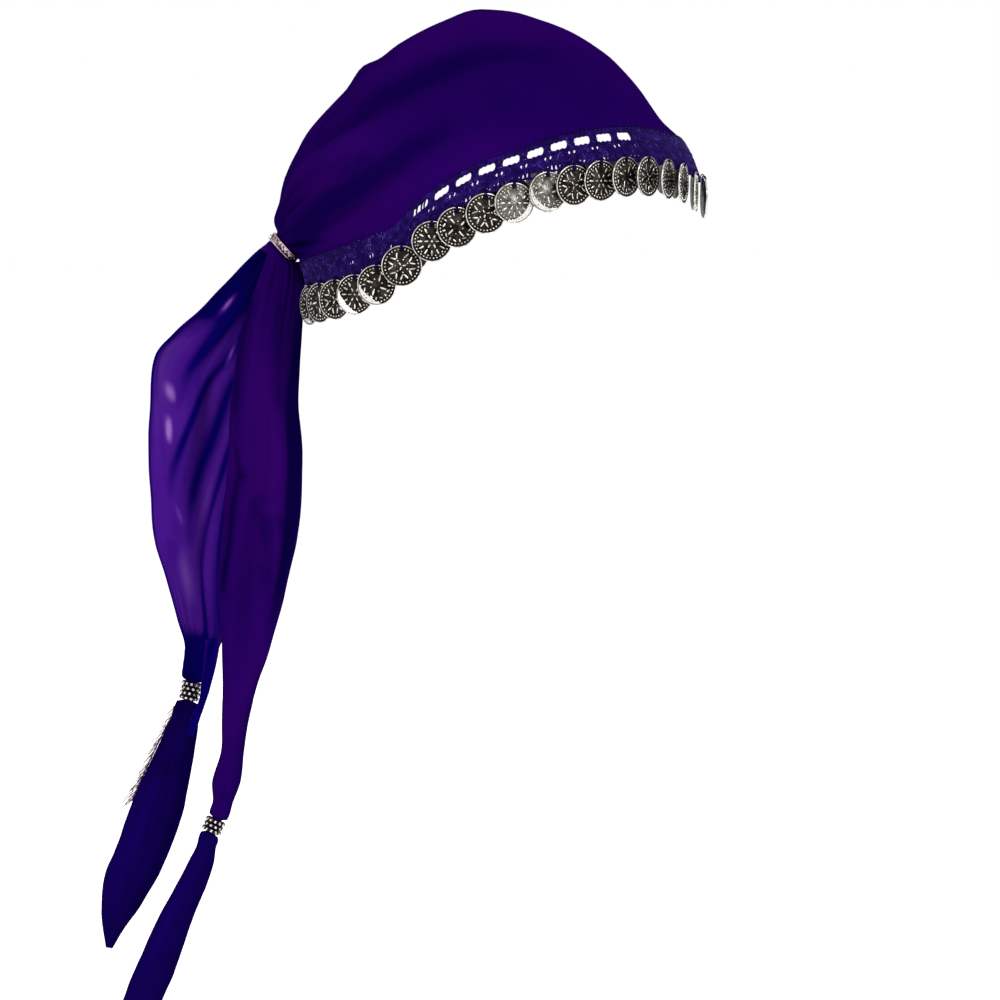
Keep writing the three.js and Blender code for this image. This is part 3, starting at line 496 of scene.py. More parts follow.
ring = {
    "inner": 7.5, "outer": 8.7, "width": 3.9, "steps": 64, "knobs": 22,
    "centre": Vector((-93.3, 0, -112.1)),
    "axis": Vector((-0.74, 0, -0.67)).normalized(),
    "up": Vector((-0.67, 0, 0.74)).normalized(),
}
neckRadius = ring["inner"] - seamGap - wall / 2

crown = {
    "columns": 352, "headRows": 84, "rowGrowth": 1.15, "wall": 0.5,
    "pleats": 15, "pleatLimit": 1.7, "pleatDivisor": 40, "pleatReach": 150,
    "gathers": 44, "gatherReach": 62, "gatherShare": 0.13,
    "bandEase": 30, "foldEase": 24, "settle": 14, "hemWidth": 2.6, "hemLift": 0.35,
    "neckShade": -0.35, "shadeDepth": 7, "flare": 2.4, "drift": 0.9, "unevenness": 0.35, "flat": (0.62, 0.33),
}

# Turns go about the ring from its top, and angles away from it.
creaseColumns = "turn away endTurn endAway depth width"

# Troughs (below zero) and puffs in the crown.
crownFolds = table(
    creaseColumns,
    (-39, 34, -28, 116, -3.4, 7), (-25, 42, -20, 86, 2.6, 8), (-86, 22, -51, 82, -3, 6),
    (-60, 16, -41, 92, 2, 8), (-108, 16, -68, 58, 1.5, 6), (34, 30, 24, 108, -3, 7),
    (20, 46, 15, 90, 2.2, 8), (80, 20, 54, 88, -3.2, 6), (56, 18, 40, 86, 1.8, 8),
    (104, 16, 72, 54, 1.5, 6), (2, 20, -3, 62, -1.6, 6),
)

# Smaller creases that only the cloth itself has, most of them near the ring.
crownCreases = table(
    creaseColumns,
    (-124, 9, -97, 40, -1.2, 2.4), (-114, 8, -84, 46, 0.9, 2.2), (-98, 9, -74, 36, -1.1, 2.6),
    (-78, 9, -60, 44, 1, 2.4), (-66, 10, -52, 52, -1.3, 2.8), (-47, 10, -40, 60, 1, 3),
    (-31, 9, -25, 48, -1.2, 2.8), (-12, 10, -10, 56, 0.9, 3), (9, 9, 7, 44, -1.2, 2.8),
    (28, 10, 24, 58, 1, 3), (46, 9, 38, 50, -1.2, 2.8), (69, 10, 54, 42, 1, 2.6),
    (92, 9, 72, 46, -1.1, 2.6), (120, 9, 94, 38, -1.1, 2.4), (-56, 58, -46, 112, -0.8, 5),
    (-33, 66, -31, 122, 0.7, 6), (40, 60, 33, 116, -0.8, 5), (14, 70, 12, 118, 0.7, 6),
)

# Painted shade (below zero) and painted highlight streaks in the crown's cloth, beside the painted shade of
# its folds.
crownShades = table(
    creaseColumns,
    (-20, 48, -18, 70, -0.75, 7), (-39, 36, -27, 112, -0.6, 5), (-76, 22, -50, 84, -0.85, 5),
    (-83, 16, -66, 60, -0.5, 7), (-79, 26, -70, 52, 0.5, 2.6), (-48, 12, -44, 60, 0.35, 9),
    (-70, 52, -58, 112, 0.3, 16), (-40, 60, -36, 132, -0.3, 20), (-15, 70, -12, 130, 0.2, 14),
    (-100, 10, -80, 40, -0.6, 6), (-56, 10, -50, 44, -0.5, 4), (-30, 10, -26, 50, -0.4, 4),
    (20, 44, 18, 74, -0.7, 7), (37, 34, 28, 110, -0.6, 5), (74, 22, 52, 84, -0.8, 5),
    (66, 48, 58, 110, 0.3, 16), (98, 12, 78, 44, -0.6, 6), (48, 12, 44, 58, 0.35, 8),
    (8, 12, 4, 60, -0.35, 4),
)


# The middle of the cloth in a direction from the head's centre, lifted by some amount.
def headPoint(direction, lift=0.0):
    sideways = math.asin(clamp(direction.y, -1, 1))
    angle = math.degrees(math.atan2(direction.z, direction.x))
    if angle < sideOutline[0]["angle"]:
        angle += 360
    along = readTable(sideOutline, "angle", "reach", angle)
    total = (math.cos(sideways) / along) ** headRoundness
    total += (abs(math.sin(sideways)) / headHalfWidth) ** headRoundness
    reach = total ** (-1 / headRoundness)
    return direction * (reach + wall / 2 + lift) + headCentre


def directionAtHeight(turn, height):
    low, high = -60, 80
    for _ in range(22):
        rise = (low + high) / 2
        direction = Vector((cosine(turn) * cosine(rise), sine(turn) * cosine(rise), sine(rise)))
        if headPoint(direction).z > height:
            high = rise
        else:
            low = rise
    return direction


def bandTop(turn):
    return readTable(bandEdges, "turn", "top", abs(turn))


def bandLow(turn):
    return readTable(bandEdges, "turn", "low", abs(turn))


def bandPoint(turn, height):
    return headPoint(directionAtHeight(turn, height))


# Lengths along the band's middle line, from the front to the nape.
def measureBand():
    marks = [{"turn": 0, "length": 0}]
    before = bandPoint(0, (bandTop(0) + bandLow(0)) / 2)
    for turn in range(1, 181):
        spot = bandPoint(turn, (bandTop(turn) + bandLow(turn)) / 2)
        marks.append({"turn": turn, "length": marks[-1]["length"] + (spot - before).length})
        before = spot
    return marks


bandMarks = measureBand()
bandLength = bandMarks[-1]["length"]


def bandTurn(part):
    length = part * bandLength
    low, high = 0, len(bandMarks) - 1
    while high - low > 1:
        middle = (low + high) // 2
        if bandMarks[middle]["length"] > length:
            high = middle
        else:
            low = middle
    first, second = bandMarks[low], bandMarks[high]
    part = (length - first["length"]) / (second["length"] - first["length"])
    return mix(first["turn"], second["turn"], part)


def foldHeight(folds, turn, away, ease=0.7):
    height = 0.0
    for fold in folds:
        part = (away - fold["away"]) / (fold["endAway"] - fold["away"])
        if 0 < part < 1:
            middle = mix(fold["turn"], fold["endTurn"], part)
            distance = math.radians(turn - middle) * sine(away) * headHalfWidth
            if abs(distance) < 3 * fold["width"]:
                height += fold["depth"] * bell(distance, fold["width"]) * sine(180 * part) ** ease
    return height


# One line of points of the crown, from the end of its neck in the ring out to the band.
def crownSpoke(share):
    side = -1 if share > 0.5 else 1
    halfShare = min(share, 1 - share) * 2
    start = (ring["centre"] - headCentre).normalized()
    edgeTurn = bandTurn(halfShare) * side
    edge = directionAtHeight(edgeTurn, bandTop(edgeTurn) + seamGap)
    up = Vector((start.z, 0, -start.x))
    fullAway = start.angle(edge)
    leaving = (edge - start * edge.dot(start)).normalized()
    leavingTurn = 180 if halfShare == 1 else math.degrees(math.atan2(leaving.y, leaving.dot(up)))
    neckTurn = mix(180 * halfShare * side, leavingTurn, 0.5)
    outward = ring["up"] * cosine(neckTurn) + Vector((0, sine(neckTurn), 0))
    gather = math.cos(2 * math.pi * crown["gathers"] * share + 1.3 * math.sin(10 * math.pi * share))
    half = ring["width"] / 2

    def neckPoint(along, radius):
        return ring["centre"] + ring["axis"] * along + outward * radius

    reach = (ring["centre"] - headCentre).length
    flareStart = neckRadius + crown["flare"]
    fullLength = fullAway * reach
    neck = [neckPoint(half * 1.15 * along, neckRadius + 0.2 * gather) for along in (1, 0.33, -0.33, -1)]
    neck += [
        neckPoint(-half - 1, neckRadius + 0.5 + 0.28 * gather),
        neckPoint(-half - 1.6, neckRadius + 1.2 + 0.32 * gather),
    ]
    # The gathered neck gets painted shade, darker between its gathers.
    spots = [(point, crown["neckShade"] + 0.2 * gather) for point in neck]
    for row in range(crown["headRows"] + 1):
        part = (row / crown["headRows"]) ** crown["rowGrowth"]
        length = mix(flareStart, fullLength, part)
        away = length / reach
        direction = start * math.cos(away) + leaving * math.sin(away)
        pitch = 2 * math.pi * length / crown["pleats"]
        toBand = fullLength - length
        nearRing = 1 - smooth((length - flareStart) / crown["gatherReach"])
        fade = (1 - smooth(length / crown["pleatReach"])) * smooth(toBand / crown["bandEase"])
        drift = crown["drift"] * math.sin(6 * math.pi * share)
        wave = math.cos(2 * math.pi * crown["pleats"] * share + drift)
        lift = min(pitch ** 2 / crown["pleatDivisor"], crown["pleatLimit"]) * fade * wave
        small = 2 * math.pi * length / crown["gathers"] * crown["gatherShare"]
        lift += small * gather * nearRing * smooth(toBand / 12)
        inAngle = math.degrees(away)
        folds = sum(foldHeight(group, leavingTurn, inAngle) for group in (crownFolds, crownCreases))
        lift += folds * smooth(toBand / crown["foldEase"])
        lift += crown["unevenness"] * noise.noise(direction * 9) * smooth(toBand / 16)
        lift += crown["hemLift"] * smooth((crown["hemWidth"] - toBand) / 0.8)
        surface = headPoint(direction, lift)
        settled = smooth((length - neckRadius - 1.4) / min(crown["settle"], fullLength - neckRadius - 1.4))
        flare = neckPoint(-half - 1.9 - 0.2 * (length - flareStart), length + 0.35 * gather * (1 - settled))
        # Painted shade and highlight: darker in fold troughs, near the ring and between gathers, lighter on
        # ridges and in the listed streaks.
        shade = foldHeight(crownShades, leavingTurn, inAngle, 0.4) + folds / crown["shadeDepth"]
        shade += (crown["neckShade"] + 0.3 * gather) * nearRing ** 2
        spots.append((flare.lerp(surface, settled), shade))
    return spots


def makeCrown():
    columns = crown["columns"]
    spokes = [crownSpoke(column / columns) for column in range(columns)]
    rows = len(spokes[0]) - 1
    shape = clothGrid(
        columns, rows, lambda column, row: spokes[column % columns][row], *crown["flat"], closed=True,
    )
    area = sheetArea(shape)
    piece = finishPiece("crownPiece", shape, [crownLook], ["crown"], crown["wall"])
    width, length = crown["flat"]
    clamp(area, 0.3 * width * length, width * length)
    print("crown: area", round(area, 4))


makeCrown()


crochet = {
    "repeats": 24, "firstSlot": 5, "lastSlot": 14, "postShare": 0.28, "rail": 2.1, "slot": 3.9,
    "scallop": 1.3, "yarn": 0.54, "fine": 0.42, "sewing": 0.2, "loops": 5, "stitches": 10, "fans": 12,
    "lowRow": 12, "lowHoles": (9, 11), "pairApart": 0.11, "pairBelow": 2.4, "pairRoom": 1.15, "napeRoom": 1.7,
    "clothStitches": 4, "fuzz": 15, "fuzzThread": 0.13,
}


# The band's surface, read once at even places and used for every stitch.
def surveyBand():
    columns = crochet["repeats"] * 6
    rows = 6
    grid = []
    for column in range(columns + 1):
        turn = bandTurn(column / columns)
        top, low = bandTop(turn), bandLow(turn)
        grid.append([bandPoint(turn, mix(top, low, row / rows)) for row in range(rows + 1)])
    return grid, columns, rows


bandGrid, bandColumns, bandRows = surveyBand()


# A place on the band: along it from the front (0) to the nape (1), down it in shares, and lifted.
def bandSpot(side, along, down, lift=0.0):
    column = clamp(along, 0, 1) * bandColumns
    row = down * bandRows
    first = min(int(column), bandColumns - 1)
    upper = int(clamp(math.floor(row), 0, bandRows - 1))
    right, below = column - first, row - upper
    a, b = bandGrid[first][upper], bandGrid[first + 1][upper]
    c, d = bandGrid[first][upper + 1], bandGrid[first + 1][upper + 1]
    spot = a.lerp(b, right).lerp(c.lerp(d, right), below)
    normal = (b - a).cross(c - a).normalized()
    if normal.dot(a - headCentre) < 0:
        normal.negate()
    spot = spot + normal * lift
    return Vector((spot.x, spot.y * side, spot.z))


def bandDepth(repeat):
    turn = bandTurn(clamp((repeat + 0.5) / crochet["repeats"], 0, 1))
    return bandTop(turn) - bandLow(turn)


# The far side's openings lie behind the near side's, as one looks through both from the camera: how far along
# and how far down each repeat of the far side is moved for that.
def measureSight():
    eye = Vector(viewpoint["place"]) / metre
    shifts = []
    for repeat in range(crochet["repeats"] + 1):
        along = clamp(repeat / crochet["repeats"], 0.03, 0.97)
        spot = bandSpot(1, along, 0.35)
        ahead = (bandSpot(1, along + 0.01, 0.35) - spot) / 0.01
        below = (bandSpot(1, along, 0.45) - spot) / 0.1
        part = 2 * spot.y / (spot.y - eye.y) * smooth(min(along, 1 - along) / 0.14)
        sideX, sideZ = (spot.x - eye.x) * part, (spot.z - eye.z) * part
        square = ahead.x * below.z - ahead.z * below.x
        moveAlong = (sideX * below.z - sideZ * below.x) / square * crochet["repeats"]
        moveDown = (sideZ * ahead.x - sideX * ahead.z) / square * bandDepth(repeat - 0.5)
        shifts.append((clamp(moveAlong, -0.4, 0.4), clamp(moveDown, -0.5, 3.2)))
    return shifts


sightShifts = measureSight()


def sightMoved(repeat, along, down, depth):
    place = clamp(repeat + along, 0, crochet["repeats"] - 0.001)
    (firstAlong, firstDown), (nextAlong, nextDown) = sightShifts[int(place)], sightShifts[int(place) + 1]
    part = place - int(place)
    eased = smooth((down - 1.4) / 1.6) * smooth((depth - 1.5 - down) / 5.5)
    return along + mix(firstAlong, nextAlong, part), down + mix(firstDown, nextDown, part) * eased


# Each upright has a pair of small round holes below it, or one near the nape. The stitches bend round them.
def bentRoundHoles(side, repeat, along, down):
    pitch = bandLength / crochet["repeats"]
    middle = crochet["postShare"] / 2 + round(along - crochet["postShare"] / 2)
    holeDown = crochet["rail"] + crochet["slot"] + crochet["pairBelow"]
    room = crochet["pairRoom"] * (1 if repeat >= crochet["firstSlot"] else 0.8)
    shares = (-crochet["pairApart"], crochet["pairApart"])
    if repeat > crochet["lastSlot"]:
        room, shares = crochet["napeRoom"] * (1.35 if side > 0 else 1), (0,)
    for share in shares:
        offset = Vector(((along - middle - share) * pitch, down - holeDown))
        if offset.length < room:
            offset = (offset + Vector((1e-4, 0))).normalized() * room
            along, down = middle + share + offset.x / pitch, holeDown + offset.y
    return along, down


def stitchLine(side, repeat, points):
    count = crochet["repeats"]
    depth = bandDepth(repeat)
    gap = 0.5 * seamGap / bandLength
    line = []
    for along, down, lift in points:
        along, down = bentRoundHoles(side, repeat, along, down)
        if side > 0:
            along, down = sightMoved(repeat, along, down, depth)
        line.append(bandSpot(side, clamp((repeat + along) / count, gap, 1 - gap), down / depth, lift))
    return line


# A chain of loops along a line: two strands that pass over and under each other.
def chainLines(side, repeat, downAt, swing):
    lines = []
    loops = crochet["loops"]
    steps = loops * 6
    for phase in (0, math.pi):
        points = []
        for step in range(steps + 1):
            along = step / steps
            angle = 2 * math.pi * loops * along / 2 + phase
            points.append((along, downAt(along) + swing * math.sin(angle), 0.42 * math.cos(angle)))
        lines.append(stitchLine(side, repeat, points))
    return lines


# One upright stitch, with a slight bend and its middle raised.
def uprightLine(side, repeat, top, bottom, downTop, downBottom, lean=0.0, lift=0.25):
    points = []
    for step in range(8):
        part = step / 7
        bend = lean * math.sin(math.pi * part)
        raised = lift * math.sin(math.pi * part)
        points.append((mix(top, bottom, part) + bend, mix(downTop, downBottom, part), raised))
    return stitchLine(side, repeat, points)


def makeBandSide(sideName, side):
    shape = bmesh.new()
    thick, thin, stitched, fuzz = [], [], [], []
    post = crochet["postShare"]
    pitch = bandLength / crochet["repeats"]
    slotTop = crochet["rail"]
    slotLow = slotTop + crochet["slot"]
    stitches = crochet["stitches"]
    for repeat in range(crochet["repeats"]):
        depth = bandDepth(repeat)
        isOpen = crochet["firstSlot"] <= repeat <= crochet["lastSlot"]
        waver = random.uniform(-0.12, 0.12)
        for down, swing in ((0.55, 0.5), (1.55, 0.42), (slotLow + 0.5, 0.5)):
            thick += chainLines(side, repeat, lambda along: down, swing)
        # the uprights between the slots, or a closed row of them where there are none
        if isOpen:
            for part, spread in ((0.03, -0.07), (0.1, -0.02), (0.18, 0.02), (0.25, 0.07)):
                foot = part + spread
                thick.append(uprightLine(side, repeat, foot, foot, slotTop - 0.4, slotLow + 0.3, -spread))
            for part in (0.42, 0.56, 0.8) if repeat == crochet["lastSlot"] else ():
                thin.append(uprightLine(side, repeat, part, part + 0.05, slotTop - 0.4, slotLow + 0.3, 0.04))
        else:
            for number in range(stitches):
                part = (number + 0.5) / stitches
                thick.append(uprightLine(
                    side, repeat, part, part + 0.02, slotTop - 0.3, slotLow + 0.3, 0.015,
                ))
        # fans below the ladder
        fanTop, fanLow = slotLow + 0.9, mix(slotLow, depth, 0.55)
        thick.append(uprightLine(side, repeat, post / 2, post / 2, fanTop, fanLow + 0.3))
        halfFan = (crochet["fans"] - 1) / 2
        for number in range(crochet["fans"]):
            part = (number - halfFan) / halfFan
            base, foot = post / 2 + 0.5 + part * 0.43, post / 2 + 0.5 + part * 0.46
            thick.append(uprightLine(side, repeat, base, foot, fanTop, fanLow + 0.4, waver * 0.1))

        def edgeDown(along):
            return depth - 0.75 - crochet["scallop"] * (1 - math.sin(math.pi * ((along - post / 2) % 1)))

        # the dense scalloped row at the low edge
        for number in range(crochet["lowRow"]):
            part = (number + 0.5) / crochet["lowRow"]
            if repeat in crochet["lowHoles"] and number in (7, 8, 9):
                continue
            foot, sag = part + 0.05 * (-1) ** number, edgeDown(part) + 0.15
            thick.append(uprightLine(side, repeat, part, foot, fanLow - 0.2, sag, 0.02, 0.4))
        thin += chainLines(side, repeat, lambda along: fanLow, 0.4)
        thin += chainLines(side, repeat, edgeDown, 0.35)
        # stitches that hold the band to the cloth's edge
        for number in range(crochet["clothStitches"]):
            part = (number + 0.5) / crochet["clothStitches"]
            steps = ((0, 0.9, 0.5), (0.02, -0.2, 0.62), (0.04, -1.2, 0.5), (0.05, -1.5, 0.1))
            moved = [(part + along, down, lift) for along, down, lift in steps]
            stitched.append(stitchLine(side, repeat, moved))
        # loose fibres; their lighter colour is a painted highlight
        for _ in range(crochet["fuzz"]):
            along, down = random.random(), random.uniform(0.8, depth - 1.2)
            if isOpen and along > post - 0.04 and slotTop - 0.8 < down < slotLow + 0.8:
                continue
            size, turn = random.uniform(0.5, 0.95), random.uniform(0, 360)
            bow = random.uniform(120, 230)
            points = []
            for step in range(7):
                angle, lift = turn + bow * step / 6, 0.62 + 0.1 * sine(30 * step)
                points.append((along + size * cosine(angle) / pitch, down + size * sine(angle), lift))
            fuzz.append(stitchLine(side, repeat, points))
    addThreads(shape, thick, crochet["yarn"])
    addThreads(shape, thin, crochet["fine"])
    addThreads(shape, fuzz, crochet["fuzzThread"], sides=4, look=1)
    addThreads(shape, stitched, crochet["sewing"], sides=4, look=2)
    name = f"crochetBand{sideName.capitalize()}"
    looks = [yarnLook, fuzzHighlightLook, threadLook]
    piece = finishPiece(name, shape, looks, [f"crochet_band_{sideName}"])
    print(name, "faces:", len(piece.data.polygons))


makeBandSide("right", -1)
makeBandSide("left", 1)


coin = {
    "radius": 9.4, "thickness": 0.8, "hole": 0.9, "holeInset": 1.9, "span": 2, "gap": 0.46, "sides": 40,
    "rim": 0.2, "sunk": 0.15, "beadRing": 7.8, "beads": 31, "bead": 0.5, "relief": 0.3, "shineWidth": 2.2,
    "shineRadius": 8.7, "tie": 0.3, "paintedGlareCoins": (10, 11),
}

# Where each coin hangs, how far it laps the band, and how far it is turned.
coinRows = table(
    "turn lap yaw",
    (157, 1, 12), (148.5, 1.2, 13), (140, 1.2, 12), (131.5, 1.4, 13), (123.5, 2.6, 12), (115, 4.4, 12),
    (105.5, 3.8, 11), (97.5, 1.8, 14), (88, 1.4, 12), (78.5, 1.9, 12), (67.5, 1.9, 14), (59, 1.6, 16),
    (50.5, 1.5, 17), (43, 2.6, 20), (36.5, 3.3, 20), (30, 3.4, 23), (24, 3.2, 18), (16.5, 1.8, 14),
    (7, 1.4, 13),
)
leftDrift = {"turn": 1, "lap": 0.3, "yaw": 0.7}

# Where a coin has a painted crescent highlight, as degrees from its top.
paintedGlintTurns = {1: (165, 215), 4: (170, 285), 5: (165, 275), 10: (60, 200), 11: (150, 290), 15: (40, 150)}

# Generic struck ornament: bars by ring, as count, radius, length, width, lean and start.
coinPatterns = [table("count ring long wide lean start", *rows) for rows in (
    (
        (12, 5.5, 3.3, 0.95, 0, 0), (12, 6.7, 0.8, 0.8, 0, 15), (6, 2.5, 2.3, 0.9, 0, 30),
        (1, 0, 1.2, 1.2, 0, 0),
    ),
    (
        (7, 5.2, 3.7, 0.95, 24, 8), (7, 5.2, 3.7, 0.95, -24, 31), (7, 3, 0.9, 0.9, 0, 20),
        (3, 1.3, 2.2, 0.85, 0, 0),
    ),
    (
        (4, 3.6, 4.4, 1.1, 10, 45), (8, 6.1, 2.4, 0.95, 62, 0), (8, 6.2, 2, 0.85, 0, 22),
        (4, 2.9, 0.9, 0.9, 0, 0),
    ),
)]


# The faces of what a bmesh operator has just made.
def facesOf(made):
    return {face for vert in made["verts"] for face in vert.link_faces}


# Turns a closed profile of radius and height about Z.
def spinProfile(shape, corners, steps):
    verts = [shape.verts.new((radius, 0, height)) for radius, height in corners]
    edges = [shape.edges.new((verts[n], verts[(n + 1) % len(verts)])) for n in range(len(verts))]
    bmesh.ops.spin(
        shape, geom=verts + edges, axis=(0, 0, 1), cent=(0, 0, 0), steps=steps, angle=2 * math.pi,
        use_merge=True,
    )


# A struck bar with a bright top and dark sides; the dark sides are partly tarnish and partly painted shade.
def addBar(shape, centre, long, wide, turn):
    turned = Matrix.Translation(centre) @ Matrix.Rotation(turn, 4, "Z")
    made = bmesh.ops.create_cone(
        shape, cap_ends=True, segments=8, radius1=1, radius2=0.8, depth=2 * coin["relief"],
        matrix=turned @ Matrix.Diagonal((long / 2, wide / 2, 1, 1)),
    )
    for face in facesOf(made):
        face.material_index = 1 if len(face.verts) == 8 else 0


def addBead(shape, centre):
    place = Matrix.Translation(centre)
    for face in facesOf(bmesh.ops.create_icosphere(shape, subdivisions=1, radius=coin["bead"], matrix=place)):
        face.material_index = 1


def onCoin(radius, degrees, height):
    return Vector((radius * sine(degrees), radius * cosine(degrees), height))


# A struck coin lying flat about the origin, with its hole at the top. Lengths are millimetres.
def coinShape(pattern, start, shine):
    shape = bmesh.new()
    half = coin["thickness"] / 2
    bmesh.ops.create_circle(shape, segments=coin["sides"], radius=coin["radius"] - coin["rim"])
    hole = Matrix.Translation((0, coin["radius"] - coin["holeInset"], 0))
    bmesh.ops.create_circle(shape, segments=14, radius=coin["hole"], matrix=hole)
    bmesh.ops.triangle_fill(shape, use_beauty=True, edges=shape.edges)
    bmesh.ops.translate(shape, vec=(0, 0, -half), verts=shape.verts)
    lifted = bmesh.ops.extrude_face_region(shape, geom=shape.faces)["geom"]
    lifted = [part for part in lifted if isinstance(part, bmesh.types.BMVert)]
    bmesh.ops.translate(shape, vec=(0, 0, 2 * half - coin["sunk"]), verts=lifted)
    bmesh.ops.recalc_face_normals(shape, faces=shape.faces)
    flat = len(shape.faces)
    # the rim is wider at the face than at the edge
    corners = ((0, -half), (0, half), (-0.35, half), (-0.7, half - 0.2), (-0.7, -half + 0.1))
    spinProfile(shape, [(coin["radius"] + along, height) for along, height in corners], coin["sides"])
    shape.faces.ensure_lookup_table()
    rimFaces = shape.faces[flat:]
    bmesh.ops.recalc_face_normals(shape, faces=rimFaces)
    for face in rimFaces:
        face.material_index = 1 if face.calc_center_median().xy.length > coin["radius"] - 0.4 else 0
    top = half - coin["sunk"]
    holeCentre = onCoin(coin["radius"] - coin["holeInset"], 0, top)

    def clearOfHole(centre, room):
        return (centre - holeCentre).length > coin["hole"] + room

    for number in range(coin["beads"]):
        centre = onCoin(coin["beadRing"], 360 * number / coin["beads"], top)
        if clearOfHole(centre, 0.5):
            addBead(shape, centre)
    for row in pattern:
        for number in range(row["count"]):
            angle = start + row["start"] + 360 * number / row["count"]
            centre = onCoin(row["ring"], angle, top)
            if clearOfHole(centre, row["long"] / 2):
                addBar(shape, centre, row["long"], row["wide"], math.radians(90 - angle + row["lean"]))
    # the bright crescent face is a painted highlight
    if shine:
        steps = 14
        outer, inner = [], []
        for step in range(steps + 1):
            angle = mix(*shine, step / steps)
            width = coin["shineWidth"] * sine(180 * step / steps) + 0.1
            outer.append(shape.verts.new(onCoin(coin["shineRadius"], angle, half - 0.02)))
            inner.append(shape.verts.new(onCoin(coin["shineRadius"] - width, angle, top + 0.06)))
        for step in range(steps):
            face = shape.faces.new((outer[step], outer[step + 1], inner[step + 1], inner[step]))
            face.material_index = 2
            face.normal_update()
            if face.normal.z < 0:
                face.normal_flip()
    return shape


# How far out of the head's surface a coin must stand for its inner face to clear the band.
def coinStandOff(centre, ahead, outward, yaw):
    standOff = -2 * coin["radius"]
    for step in range(64):
        angle = 360 * step / 64
        across = coin["radius"] * cosine(angle)
        point = centre + ahead * (across * cosine(yaw)) - outward * (across * sine(yaw))
        point.z += coin["radius"] * sine(angle)
        turn = math.degrees(math.atan2(point.y, point.x))
        if point.z > bandLow(turn) + crochet["scallop"] / 2:
            standOff = max(standOff, (bandPoint(turn, point.z) - point).dot(outward))
    return standOff + (1.6 + coin["thickness"]) / 2 + coin["gap"]


def coinPlace(side, turn, lap, yaw):
    height = bandLow(turn) + lap - coin["radius"]
    front = bandPoint((turn - coin["span"]) * side, height)
    back = bandPoint((turn + coin["span"]) * side, height)
    ahead = (front - back).normalized()
    outward = Vector((-ahead.y, ahead.x, 0)) * side
    facing = outward * cosine(yaw) + ahead * sine(yaw)
    centre = bandPoint(turn * side, height)
    centre = centre + outward * coinStandOff(centre, ahead, outward, yaw)
    upward = Vector((0, 0, 1))
    basis = Matrix((upward.cross(facing), upward, facing)).transposed().to_4x4()
    return Matrix.Translation(centre) @ basis


def makeCoins(sideName, side):
    ties = []
    drift = leftDrift if side > 0 else {"turn": 0, "lap": 0, "yaw": 0}
    for index, row in enumerate(coinRows):
        turn = row["turn"] + drift["turn"] * math.sin(2.1 * index)
        lap = row["lap"] + drift["lap"] * math.cos(1.7 * index)
        yaw = row["yaw"] + drift["yaw"] * math.sin(1.3 * index)
        place = coinPlace(side, turn, lap, yaw)
        pattern = coinPatterns[(index * 2 + (side > 0)) % len(coinPatterns)]
        shape = coinShape(pattern, 40 * index, paintedGlintTurns.get(index + 1))
        bmesh.ops.transform(shape, matrix=Matrix.Scale(metre, 4) @ place, verts=shape.verts)
        number = f"{index + 1:02d}"
        name = f"coinPiece{sideName.capitalize()}{number}"
        # some coins get a lighter face, a painted glare
        field = paintedGlareLook if index + 1 in coin["paintedGlareCoins"] else fieldLook
        finishPiece(name, shape, [field, reliefLook, paintedGlintLook], [f"coin_{sideName}_{number}"])
        # the thread goes up from the hole, over the coin's rim and into the crochet behind it
        hole = place @ Vector((0, coin["radius"] - coin["holeInset"], 0))
        outward = (place.to_3x3() @ Vector((0, 0, 1))).normalized()
        for shift in (-0.35, 0.35):
            loop = []
            for step in range(12):
                angle = 2 * math.pi * step / 12
                offset = outward * (0.95 * math.cos(angle)) + Vector((0, 0, 1.5 + 1.6 * math.sin(angle)))
                loop.append(hole + offset + (place.to_3x3() @ Vector((shift, 0, 0))))
            ties.append(loop)
    shape = bmesh.new()
    addThreads(shape, ties, coin["tie"], closed=True)
    finishPiece(f"coinTies{sideName.capitalize()}", shape, [threadLook], [])


makeCoins("right", -1)
makeCoins("left", 1)
print("coins made")


# Two smooth lips with a groove of slanted knobs between them.
def makeRing():
    shape = bmesh.new()
    half, inner, outer = ring["width"] / 2, ring["inner"], ring["outer"]
    middle, groove = (inner + outer) / 2, outer - 0.35
    lower = [
        (inner, -half), (middle, -half - 0.02), (outer, -half + 0.2), (outer, -half + 0.75),
        (groove, -half + 0.95),
    ]
    spinProfile(shape, lower + [(radius, -height) for radius, height in reversed(lower)], ring["steps"])
    bmesh.ops.recalc_face_normals(shape, faces=shape.faces)
    for number in range(ring["knobs"]):
        angle = 2 * math.pi * number / ring["knobs"]
        spot = Vector((math.cos(angle), math.sin(angle), 0)) * (outer - 0.3)
        place = Matrix.Translation(spot) @ Matrix.Rotation(angle, 4, "Z")
        lean = Matrix.Rotation(0.6 * (-1) ** number, 4, "X")
        bmesh.ops.create_icosphere(
            shape, subdivisions=2, radius=1, matrix=place @ lean @ Matrix.Diagonal((0.45, 0.5, 1.15, 1)),
        )
    turn = ring["axis"].to_track_quat("Z", "Y").to_matrix().to_4x4()
    bmesh.ops.transform(
        shape, matrix=Matrix.Scale(metre, 4) @ Matrix.Translation(ring["centre"]) @ turn, verts=shape.verts,
    )
    finishPiece("ringPiece", shape, [ringLook], ["cinch_ring"])


makeRing()


cuff = {
    "inner": 2.7, "outer": 5, "rowHeight": 2.3, "beads": 12, "bead": 1.14, "squash": 0.92, "thread": 0.5,
    "glintFrom": 0.86,
}
leftCuff = {"centre": Vector((-139, 17.6, -325)), "lean": -13, "rows": 4}
rightCuff = {"centre": Vector((-126.7, -12.6, -386.4)), "lean": -25, "rows": 3}
gatherRadius = cuff["inner"] - seamGap - wall / 2

strip = {
    "wall": 0.45, "hemReach": 0.4, "straight": 0.3, "roomFrom": 9, "roomSpan": 14, "foldSpread": 1.3,
    "gathers": 9, "gatherHeight": 0.75, "gatherReach": 0.28, "ripple": 0.45, "neckRipple": 0.14,
    "shadeDepth": 9, "gatherShade": 0.22, "leastFlat": 0.011,
}

stripColumns = "backX backZ frontX frontZ bend swell away"

